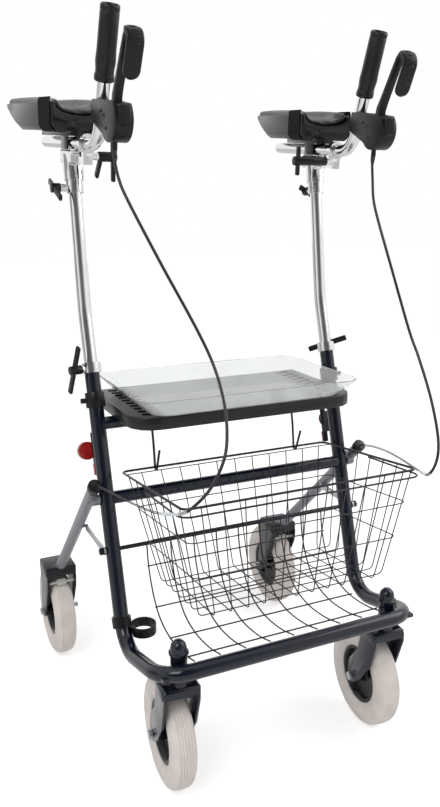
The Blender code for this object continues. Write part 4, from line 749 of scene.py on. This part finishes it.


# Brake cables: black casings from the housings down to the basket's sides, where each ends in a bright
# ferrule. A clear sleeve and two bare wires lead on to the plug in the rear leg's top. The casing is made
# as three lengths, split at set heights and named for the reach, the arm's swivel and the post's slide.
CASING_RADIUS = 0.0025
CASING_SIDES = 14
GLAND_RADII = (0.0043, 0.0040, 0.0027)
FERRULE_RADII = (0.0029, 0.0029, 0.0026)
SLEEVE_RADIUS = 0.0026
BARE_RADIUS = 0.0008
BARE_OFFSET = 0.0012
ROUTE_SPACING = 0.008
ARM_PLACE = (0.2536, 0.0755, 1.1195)
ARM_TOE_IN = 2.6
ARM_TILT = 4.65
HOUSING_EXIT = ((0, -0.2226, -0.0050), (0, -0.2216, -0.0205))
CABLE_ROUTES = {
    -1: ((-0.2460, 0.1280, 0.8510), (-0.2387, 0.1100, 0.8189), (-0.2028, 0.0700, 0.7261),
         (-0.1589, 0.0300, 0.6229), (-0.1424, 0.0000, 0.5647), (-0.1446, -0.0400, 0.5144),
         (-0.1554, -0.0700, 0.4715), (-0.1687, -0.0840, 0.4411), (-0.1901, -0.0880, 0.4072),
         (-0.2118, -0.0840, 0.3838), (-0.2290, -0.0700, 0.3670), (-0.2442, -0.0157, 0.3497),
         (-0.2523, 0.0306, 0.3417), (-0.2610, 0.0799, 0.3371), (-0.2710, 0.1366, 0.3337),
         (-0.2792, 0.1833, 0.3306)),
    1: ((0.2316, 0.1330, 0.8528), (0.2246, 0.1180, 0.8190), (0.2255, 0.1030, 0.7834),
        (0.2310, 0.0700, 0.7110), (0.2500, 0.0300, 0.5940), (0.2500, 0.0000, 0.5510),
        (0.2490, -0.0400, 0.4860), (0.2450, -0.0700, 0.4230), (0.2366, -0.0800, 0.3853),
        (0.2330, -0.0660, 0.3570), (0.2385, -0.0352, 0.3527), (0.2504, 0.0294, 0.3526),
        (0.2612, 0.0874, 0.3498), (0.2713, 0.1424, 0.3423), (0.2795, 0.1860, 0.3325)),
}
CASING_ENDS = {-1: 12, 1: 11}
CABLE_PLUG = (0.2831, 0.2106, 0.3261)
CASING_LENGTHS = (("reach", "arm", "reach", 0.940, 1.080), ("swivel", "post", "arm", 0.700, 0.940),
                  ("slide", "frame", "post", 0.560, 0.700))

casing, tree, shader, place = finish("cable_casing", (0.010, 0.010, 0.011), 0.34)
feed(tree, shader, Roughness=0.28 + 0.14 * noise(tree, place, 80.0, 3.0),
     Base_Color=tint(tree, noise(tree, place, 40.0), (0.008, 0.008, 0.008), (0.016, 0.016, 0.017)))
sleeve, tree, shader, place = finish("clear_sleeve", (0.86, 0.90, 0.93), 0.25, Transmission_Weight=0.6)
feed(tree, shader, Roughness=0.16 + 0.2 * noise(tree, place, 150.0, 3.0))


def arm_frame(side):
    x, y, z = ARM_PLACE
    return shift(side * x, y, z) @ about("Z", -side * ARM_TOE_IN) @ about("X", ARM_TILT)


def first_below(points, height):
    """The number of the first point that is lower than a height."""
    return next(index for index, point in enumerate(points) if point.z < height)


for label, side in SIDES:
    arm = arm_frame(side)
    x, y, z = CABLE_PLUG
    route = [arm @ Vector(point) for point in HOUSING_EXIT]
    route += [CHASSIS @ Vector(point) for point in CABLE_ROUTES[side]]
    route.append(CHASSIS @ Vector((side * x, y, z)))
    stretches = smooth_route(route, ROUTE_SPACING)
    split = CASING_ENDS[side]
    outer = [point for stretch in stretches[:split + 1] for point in stretch]
    covered = [outer[-1], *stretches[split + 1]]
    bare = [covered[-1]] + [point for stretch in stretches[split + 2:] for point in stretch]
    gland = Stock()
    gland.rod(outer[:3], GLAND_RADII, CASING_SIDES)
    gland.piece(f"{label}_cable_gland", casing, f"{label}_reach")
    for name, lower, upper, low, high in CASING_LENGTHS:
        first = 0 if name == "reach" else first_below(outer, high)
        last = len(outer) - 1 if name == "slide" else first_below(outer, low)
        stretch = Stock()
        stretch.rod(outer[first:last + 1], CASING_RADIUS, CASING_SIDES)
        made = stretch.object(f"{label}_casing_{name}", casing)
        if name == "slide":
            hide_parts(f"{label}_brake_cable")
        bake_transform(made)
    ferrule = Stock()
    ferrule.rod([outer[-2], outer[-1], covered[1]], FERRULE_RADII, CASING_SIDES)
    ferrule.piece(f"{label}_cable_ferrule", zinc, "frame")
    cover = Stock()
    cover.rod(covered, SLEEVE_RADIUS, CASING_SIDES)
    cover.piece(f"{label}_cable_sleeve", sleeve, "frame")
    inner = Stock()
    for offset in (-BARE_OFFSET, BARE_OFFSET):
        inner.rod([point + Vector((0, 0, offset)) for point in bare], BARE_RADIUS)
    made = inner.object(f"{label}_cable_wires", wire_black)
    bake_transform(made)


# Reflectors: red lenses, a disc and a bar on each black bracket behind the main tubes. The right side's
# lenses show red from the front too, and the left side's have the black bracket in front of them.
LENS_FRONTS = {-1: (-0.0022, -0.0405), 1: (0.0080, -0.0475)}
LENS_REAR = -0.0500
DISC_PLACE = (0.0140, 0.0480, 0.0185)
BAR_OUTLINE = ((-0.0056, -0.0290), (0.0056, -0.0290), (0.0056, -0.0080), (-0.0056, -0.0080))
TUBE_POINT = (0.2536, 0.2284, 0.2500)
TUBE_LEAN = 0.2861
BRACKET_HEIGHT = 0.3560

lens, tree, shader, place = finish("red_lens", (0.38, 0.008, 0.008), 0.16, Coat_Weight=0.5)
prisms = node(tree, "ShaderNodeTexVoronoi", {"feature": "F1"}, {"Vector": place, "Scale": 480.0}, "Distance")
feed(tree, shader, Base_Color=tint(tree, prisms, (0.55, 0.020, 0.015), (0.20, 0.002, 0.002)))
relief(tree, shader, prisms, 0.0008, 0.5)
for label, side in SIDES:
    x, y, z = TUBE_POINT
    bracket = CHASSIS @ shift(side * x, y + TUBE_LEAN * (BRACKET_HEIGHT - z), BRACKET_HEIGHT)
    bracket = bracket @ about("X", -math.degrees(math.atan(TUBE_LEAN)))
    x, y, z = DISC_PLACE
    disc = bracket @ shift(side * x, y, z) @ about("X", -90)
    lens_front, bar_front = LENS_FRONTS[side]
    red = Stock()
    red.turned([(0.0001, 0.0125), (0.0120, 0.0125), (0.0160, 0.0118), (0.0172, 0.0100),
                (0.0172, lens_front + 0.0012), (0.0160, lens_front), (0.0001, lens_front)], disc, 48)
    red.slab(BAR_OUTLINE, LENS_REAR, bar_front, bracket @ about("X", 90))
    red.piece(f"{label}_red_lenses", lens, "frame", crease=30, rounding=0.0006)


# Forearm supports: a dark rigid gutter, bolted to each arm from below, holds a thick foam pad with a
# smooth black skin. A woven hook-and-loop band lies against both sides of them near the front.
PAD_HALF = 0.0530
PAD_FRONT = -0.0500
PAD_REAR = 0.2050
PAD_YAW = 4.0
PAD_THICKNESS = 0.0125
SHELL_RIM = 0.0660
SHELL_FLOOR = ((-0.0520, 0.0455), (0.0750, 0.0360), (0.2100, 0.0425))
SWELL_OUT = 0.0008
SWELL_IN = 0.0035
VOXEL = 0.0042
END_GAP = 0.0040
SIDE_GAP = 0.0055
FLOOR_GAP = 0.0015
PAD_RIM = 0.0745
PAD_RIM_RISE = 0.0055
PAD_ROWS = 41
TROUGH_STEPS = 20
END_SHARE = 0.045
LIP_CURVE = ((0.04, 0.0055), (0.16, 0.0022), (0.40, 0.0), (0.68, 0.0004), (0.90, 0.0022))
BAND_PLACES = (-0.0440, -0.0300, -0.0150, 0.0000, 0.0130)
BAND_THICKNESS = 0.0014
BAND_PATH = ((PAD_HALF * 0.50, 0.0193), (PAD_HALF - 0.0082, 0.0189), (PAD_HALF - 0.0030, 0.0225),
             (PAD_HALF + 0.0006, 0.0285), (PAD_HALF + 0.0008, 0.0450), (PAD_HALF + 0.0008, 0.0690),
             (PAD_HALF - 0.0010, 0.0735))
WEAVE_SCALE = 4200.0
BOLT_PLACES = ((0.0120, -0.0280), (-0.0120, -0.0280), (0.0120, 0.0860), (-0.0120, 0.0860))
BOLT_HEIGHT = 0.0190

skin, tree, shader, place = finish("pad_skin", (0.006, 0.006, 0.007), 0.34, Coat_Weight=0.2,
                                   Specular_IOR_Level=0.4)
wrinkle = noise(tree, place, 26.0, 4.0)
pores = node(tree, "ShaderNodeTexVoronoi", {"feature": "F1"}, {"Vector": place, "Scale": 620.0}, "Distance")
feed(tree, shader, Roughness=0.24 + 0.20 * wrinkle,
     Base_Color=tint(tree, wrinkle, (0.004, 0.004, 0.005), (0.010, 0.010, 0.012)))
relief(tree, shader, pores * 0.3 + wrinkle, 0.0010, 0.45)
gutter, tree, shader, place = finish("gutter_plastic", (0.012, 0.012, 0.014), 0.14, Coat_Weight=0.1,
                                     Specular_IOR_Level=0.3)
feed(tree, shader, Roughness=0.10 + 0.12 * noise(tree, place, 40.0, 4.0),
     Base_Color=tint(tree, noise(tree, place, 18.0), (0.005, 0.005, 0.006), (0.012, 0.012, 0.014)))
woven, tree, shader, place = finish("woven_band", (0.006, 0.006, 0.006), 0.85, Specular_IOR_Level=0.15)
warp = maths(tree, "SINE", axis_of(tree, place, "Y") * WEAVE_SCALE)
weft = maths(tree, "SINE", axis_of(tree, place, "Z") * WEAVE_SCALE)
weave = warp * weft
feed(tree, shader, Base_Color=tint(tree, weave * 0.5 + 0.5, (0.004, 0.004, 0.004), (0.012, 0.012, 0.013)))
relief(tree, shader, weave, 0.0004, 0.7)


def along_pad(y, values):
    """A smooth value between three (y, value) points."""
    (y0, v0), (y1, v1), (y2, v2) = values
    first, last = ((y0, v0), (y1, v1)) if y < y1 else ((y2, v2), (y1, v1))
    share = (y - first[0]) / (last[0] - first[0])
    return last[1] + (first[1] - last[1]) * (1 - share) ** 2


def trough(y, half_width, rim, floor):
    """A U across the pad, from one rim to the other."""
    found = []
    for step in range(TROUGH_STEPS + 1):
        angle = math.pi * (1 - step / TROUGH_STEPS)
        depth = max(math.sin(angle), 0) ** 0.8
        found.append(Vector((half_width * math.cos(angle), y, rim - (rim - floor) * depth)))
    return found


def raw_pad():
    """The foam pad before it swells, in the arm's frame and along the gutter."""
    length = PAD_REAR - PAD_FRONT - END_GAP
    half = PAD_HALF - SIDE_GAP
    rings = []
    for index in range(PAD_ROWS):
        share = index / (PAD_ROWS - 1)
        y = PAD_FRONT + END_GAP + length * share
        rim = PAD_RIM + PAD_RIM_RISE * share
        floor = along_pad(y, SHELL_FLOOR) + FLOOR_GAP
        under = trough(y, half, SHELL_RIM + FLOOR_GAP, floor)
        over = trough(y, half - PAD_THICKNESS, rim - 0.0050, floor + PAD_THICKNESS)
        near_end = min(share, 1 - share) / END_SHARE
        full = 0.50 + 0.50 * math.sqrt(1 - (1 - min(near_end, 1)) ** 2)
        ring = []
        for low_point, high_point in zip(under, over):
            middle = (low_point + high_point) / 2
            ring.append((middle + (low_point - middle) * full, middle + (high_point - middle) * full))
        lip = rim - 0.0120 * (1 - full)
        ends = []
        for outer, inner in (ring[0], ring[-1]):
            width = inner.x - outer.x
            ends.append([Vector((outer.x + width * part, y, lip - drop)) for part, drop in LIP_CURVE])
        lower_side = [first for first, _ in ring]
        upper_side = [last for _, last in ring[::-1]]
        rings.append(lower_side + ends[1] + upper_side + ends[0][::-1])
    return rings


def swollen(made):
    """Swells the pad as cloth round foam, and keeps each point near its start."""
    remesh = made.modifiers.new("even", "REMESH")
    remesh.mode = "VOXEL"
    remesh.voxel_size = VOXEL
    graph = bpy.context.evaluated_depsgraph_get()
    even = bpy.data.meshes.new_from_object(made.evaluated_get(graph))
    made.modifiers.clear()
    made.data = even
    start = np.array([vertex.co for vertex in even.vertices])
    normals = np.array([vertex.normal for vertex in even.vertices])
    cloth = made.modifiers.new("swell", "CLOTH")
    cloth.settings.use_pressure = True
    cloth.settings.uniform_pressure_force = 4
    cloth.settings.effector_weights.gravity = 0
    for step in range(1, 21):
        bpy.context.scene.frame_set(step)
    graph = bpy.context.evaluated_depsgraph_get()
    result = made.evaluated_get(graph).to_mesh()
    end = np.array([vertex.co for vertex in result.vertices])
    made.modifiers.clear()
    bpy.context.scene.frame_set(1)
    moved = end - start
    distance = np.linalg.norm(moved, axis=1)
    centre = np.array([0, 0, SHELL_RIM + 0.012])
    outward = start - centre
    outward[:, 1] = 0
    touching = ((normals * outward).sum(axis=1) > 0) & (start[:, 2] < SHELL_RIM + 0.002)
    cap = np.where(touching, SWELL_OUT, SWELL_IN)
    share = np.minimum(1, cap / np.maximum(distance, 1e-9))
    even.vertices.foreach_set("co", (start + moved * share[:, None]).ravel())
    even.update()


def band_section():
    """The band's section on one side, from under the gutter to over the pad's edge, in X and height."""
    inside = [Vector(point) for point in BAND_PATH]
    outside = []
    for index, point in enumerate(inside):
        along = (inside[min(index + 1, len(inside) - 1)] - inside[max(index - 1, 0)]).normalized()
        outside.append(point + Vector((along.y, -along.x)) * BAND_THICKNESS)
    return inside + outside[::-1]


raw = Stock()
raw.skin(raw_pad())
foam = raw.object("foam", skin, 180)
swollen(foam)
for label, side in SIDES:
    lie = arm_frame(side) @ about("Z", -side * PAD_YAW)
    cushion = foam.data.copy()
    cushion.transform(lie)
    cushion.materials.clear()
    cushion.materials.append(skin)
    for face in cushion.polygons:
        face.use_smooth = True
    made = placed(f"{label}_pad_cushion", cushion)
    smooth = made.modifiers.new("smooth", "SUBSURF")
    smooth.levels = 1
    smooth.render_levels = 1
    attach(made, f"{label}_arm")
    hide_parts(f"{label}_pad")
    dress(gutter, f"{label}_pad_shell", edge=0.0010)
    for edge in (-1, 1):
        rings = []
        for y in BAND_PLACES:
            rings.append([lie @ Vector((edge * point.x, y, point.y)) for point in band_section()])
        band = Stock()
        band.skin(rings)
        band.piece(f"{label}_band_{'outer' if edge == side else 'inner'}", woven, f"{label}_arm", crease=50)
    bolts = Stock()
    for x, y in BOLT_PLACES:
        head = lie @ shift(x, y, BOLT_HEIGHT) @ about("X", 180)
        bolts.turned([(0.0001, 0.0030), (0.0040, 0.0026), (0.0052, 0.0004), (0.0052, -0.0010),
                      (0.0001, -0.0010)], head, 20)
    bolts.piece(f"{label}_gutter_bolts", chrome, f"{label}_arm")
bpy.data.objects.remove(foam)


# Hand grips: soft black sleeves over the bent arm tubes, swelling a little above the foot. The brake
# housings below have pressed sockets, and the levers fold over into broad paddles with raised bars.
GRIP_FOOT = (0, -0.17628, 0.0952)
GRIP_LEAN = math.degrees(math.atan(0.3128))
GRIP_LENGTH = 0.1106
GRIP_PROFILE = ((0.0, 0.0146), (0.008, 0.0157), (0.014, 0.0160), (0.080, 0.0160), (0.090, 0.0156),
                (0.104, 0.0149), (0.150, 0.0148), (0.190, 0.0153), (0.240, 0.0160), (0.290, 0.0162),
                (0.350, 0.0158), (0.420, 0.0154), (0.900, 0.0152), (0.912, 0.0146), (0.925, 0.0153),
                (0.975, 0.0153), (0.992, 0.0147), (1.0, 0.0135))
GRIP_BORE = 0.0116
LEVER_PIVOT = (-0.2330, 0.0560)
LEVER_EYE = 0.0105
LEVER_BORE = 0.0038
LEVER_STEM = ((-0.2335, 0.0600, 0.0088), (-0.2352, 0.0727, 0.0080), (-0.2440, 0.0890, 0.0062),
              (-0.2560, 0.1105, 0.0056), (-0.2690, 0.1340, 0.0050))
LEVER_FOLD = (-0.2925, 0.1425)
LEVER_RADIUS = 0.0165
FOLD_START = 30
FOLD_SWEEP = 172
FOLD_STEPS = 14
ARM_HALF_WIDTH = 0.0070
PADDLE_HALF_WIDTH = 0.0135
PADDLE_HALF_HEIGHT = 0.0042
PADDLE_END = (-0.2893, 0.0919)
PADDLE_LEFT = (0.030, 0.022, 0.0135, 0.0105, 0.0075, 0.0045, 0.0022, 0.0008, 0.0001)
SECTION_POINTS = 20
BAR_HALF_SIZES = (0.0074, 0.0018, 0.0024)
BAR_LIFT = 0.0036
BAR_ANGLES = (84, 112, 140, 168, 194)
LOWER_BARS = ((-0.3060, 0.1240), (-0.3012, 0.1120))
LOWER_BAR_TURN = 22
SOCKET_SIDE = 0.0150
SOCKET_PLACES = ((-0.2020, 0.0500), (-0.2160, 0.0440), (-0.2250, 0.0250))

rubber, tree, shader, place = finish("grip_rubber", (0.006, 0.006, 0.007), 0.34, Specular_IOR_Level=0.35)
feed(tree, shader, Roughness=0.26 + 0.18 * noise(tree, place, 60.0, 4.0),
     Base_Color=tint(tree, noise(tree, place, 35.0), (0.004, 0.004, 0.005), (0.010, 0.010, 0.011)))


def lever_section(y, z, direction, half_width, half_height):
    """A rounded oblong across the lever."""
    normal = Vector((0, -direction.z, direction.y))
    ring = []
    for step in range(SECTION_POINTS):
        angle = math.tau * step / SECTION_POINTS
        cosine, sine = math.cos(angle), math.sin(angle)
        width = math.copysign(abs(cosine) ** 0.45, cosine) * half_width
        height = math.copysign(abs(sine) ** 0.45, sine) * half_height
        ring.append(Vector((width, y, z)) + normal * height)
    return ring


def lever_rings():
    """The lever's rings, from its eye up the stem, over the fold and down to the paddle's round end."""
    route = [(y, z, ARM_HALF_WIDTH, half_height) for y, z, half_height in LEVER_STEM]
    for step in range(FOLD_STEPS + 1):
        angle = math.radians(FOLD_START + FOLD_SWEEP * step / FOLD_STEPS)
        widen = min(max((step - 2) / 5, 0), 1)
        half_width = ARM_HALF_WIDTH + (PADDLE_HALF_WIDTH - ARM_HALF_WIDTH) * widen * widen * (3 - 2 * widen)
        route.append((LEVER_FOLD[0] + LEVER_RADIUS * math.cos(angle),
                      LEVER_FOLD[1] + LEVER_RADIUS * math.sin(angle), half_width, PADDLE_HALF_HEIGHT))
    start = route[-1]
    length = math.hypot(PADDLE_END[0] - start[0], PADDLE_END[1] - start[1])
    for left in PADDLE_LEFT:
        share = 1 - left / length
        y = start[0] + (PADDLE_END[0] - start[0]) * share
        z = start[1] + (PADDLE_END[1] - start[1]) * share
        round_off = math.sqrt(max(1 - max(1 - left / PADDLE_HALF_WIDTH, 0) ** 2, 0.0))
        thinning = min(1, 0.35 + left / 0.006)
        route.append((y, z, PADDLE_HALF_WIDTH * round_off, PADDLE_HALF_HEIGHT * thinning))
    rings = []
    for index, (y, z, half_width, half_height) in enumerate(route):
        before = route[max(index - 1, 0)]
        after = route[min(index + 1, len(route) - 1)]
        direction = Vector((0, after[0] - before[0], after[1] - before[1])).normalized()
        rings.append(lever_section(y, z, direction, half_width, half_height))
    return rings


for label, side in SIDES:
    arm = arm_frame(side)
    stand = arm @ shift(*GRIP_FOOT) @ about("X", GRIP_LEAN)
    grip = Stock()
    outer = [(radius, GRIP_LENGTH * share) for share, radius in GRIP_PROFILE]
    grip.turned([(GRIP_BORE, 0.0)] + outer + [(GRIP_BORE, GRIP_LENGTH - 0.002)], stand, 56, closed=True)
    grip.piece(f"{label}_grip_sleeve", rubber, f"{label}_reach", f"{label}_grip", crease=50)
    lever = Stock()
    lever.skin([[arm @ point for point in ring] for ring in lever_rings()])
    eye = arm @ shift(0, *LEVER_PIVOT) @ about("Y", 90)
    lever.turned([(LEVER_BORE, -ARM_HALF_WIDTH), (LEVER_EYE - 0.001, -ARM_HALF_WIDTH),
                  (LEVER_EYE, -0.0060), (LEVER_EYE, 0.0060), (LEVER_EYE - 0.001, ARM_HALF_WIDTH),
                  (LEVER_BORE, ARM_HALF_WIDTH)], eye, 32, closed=True)
    lever.piece(f"{label}_lever_paddle", nylon, f"{label}_lever", f"{label}_brake_lever", crease=60)
    bars = Stock()
    for angle in BAR_ANGLES:
        spot = arm @ shift(0, *LEVER_FOLD) @ about("X", angle) @ shift(0, LEVER_RADIUS + BAR_LIFT, 0)
        bars.pebble(BAR_HALF_SIZES, spot)
    for y, z in LOWER_BARS:
        bars.pebble(BAR_HALF_SIZES, arm @ shift(0, y, z) @ about("X", LOWER_BAR_TURN))
    bars.piece(f"{label}_lever_bars", rim_black, f"{label}_lever")
    sockets = Stock()
    for face in (-1, 1):
        for y, z in SOCKET_PLACES:
            spot = arm @ shift(face * SOCKET_SIDE, y, z) @ about("Y", 90 * face)
            sockets.turned([(0.0022, -0.0010), (0.0022, 0.0006), (0.0030, 0.0007), (0.0036, 0.0002),
                            (0.0036, -0.0010)], spot, 24, closed=True)
    sockets.piece(f"{label}_housing_sockets", rim_black, f"{label}_reach")
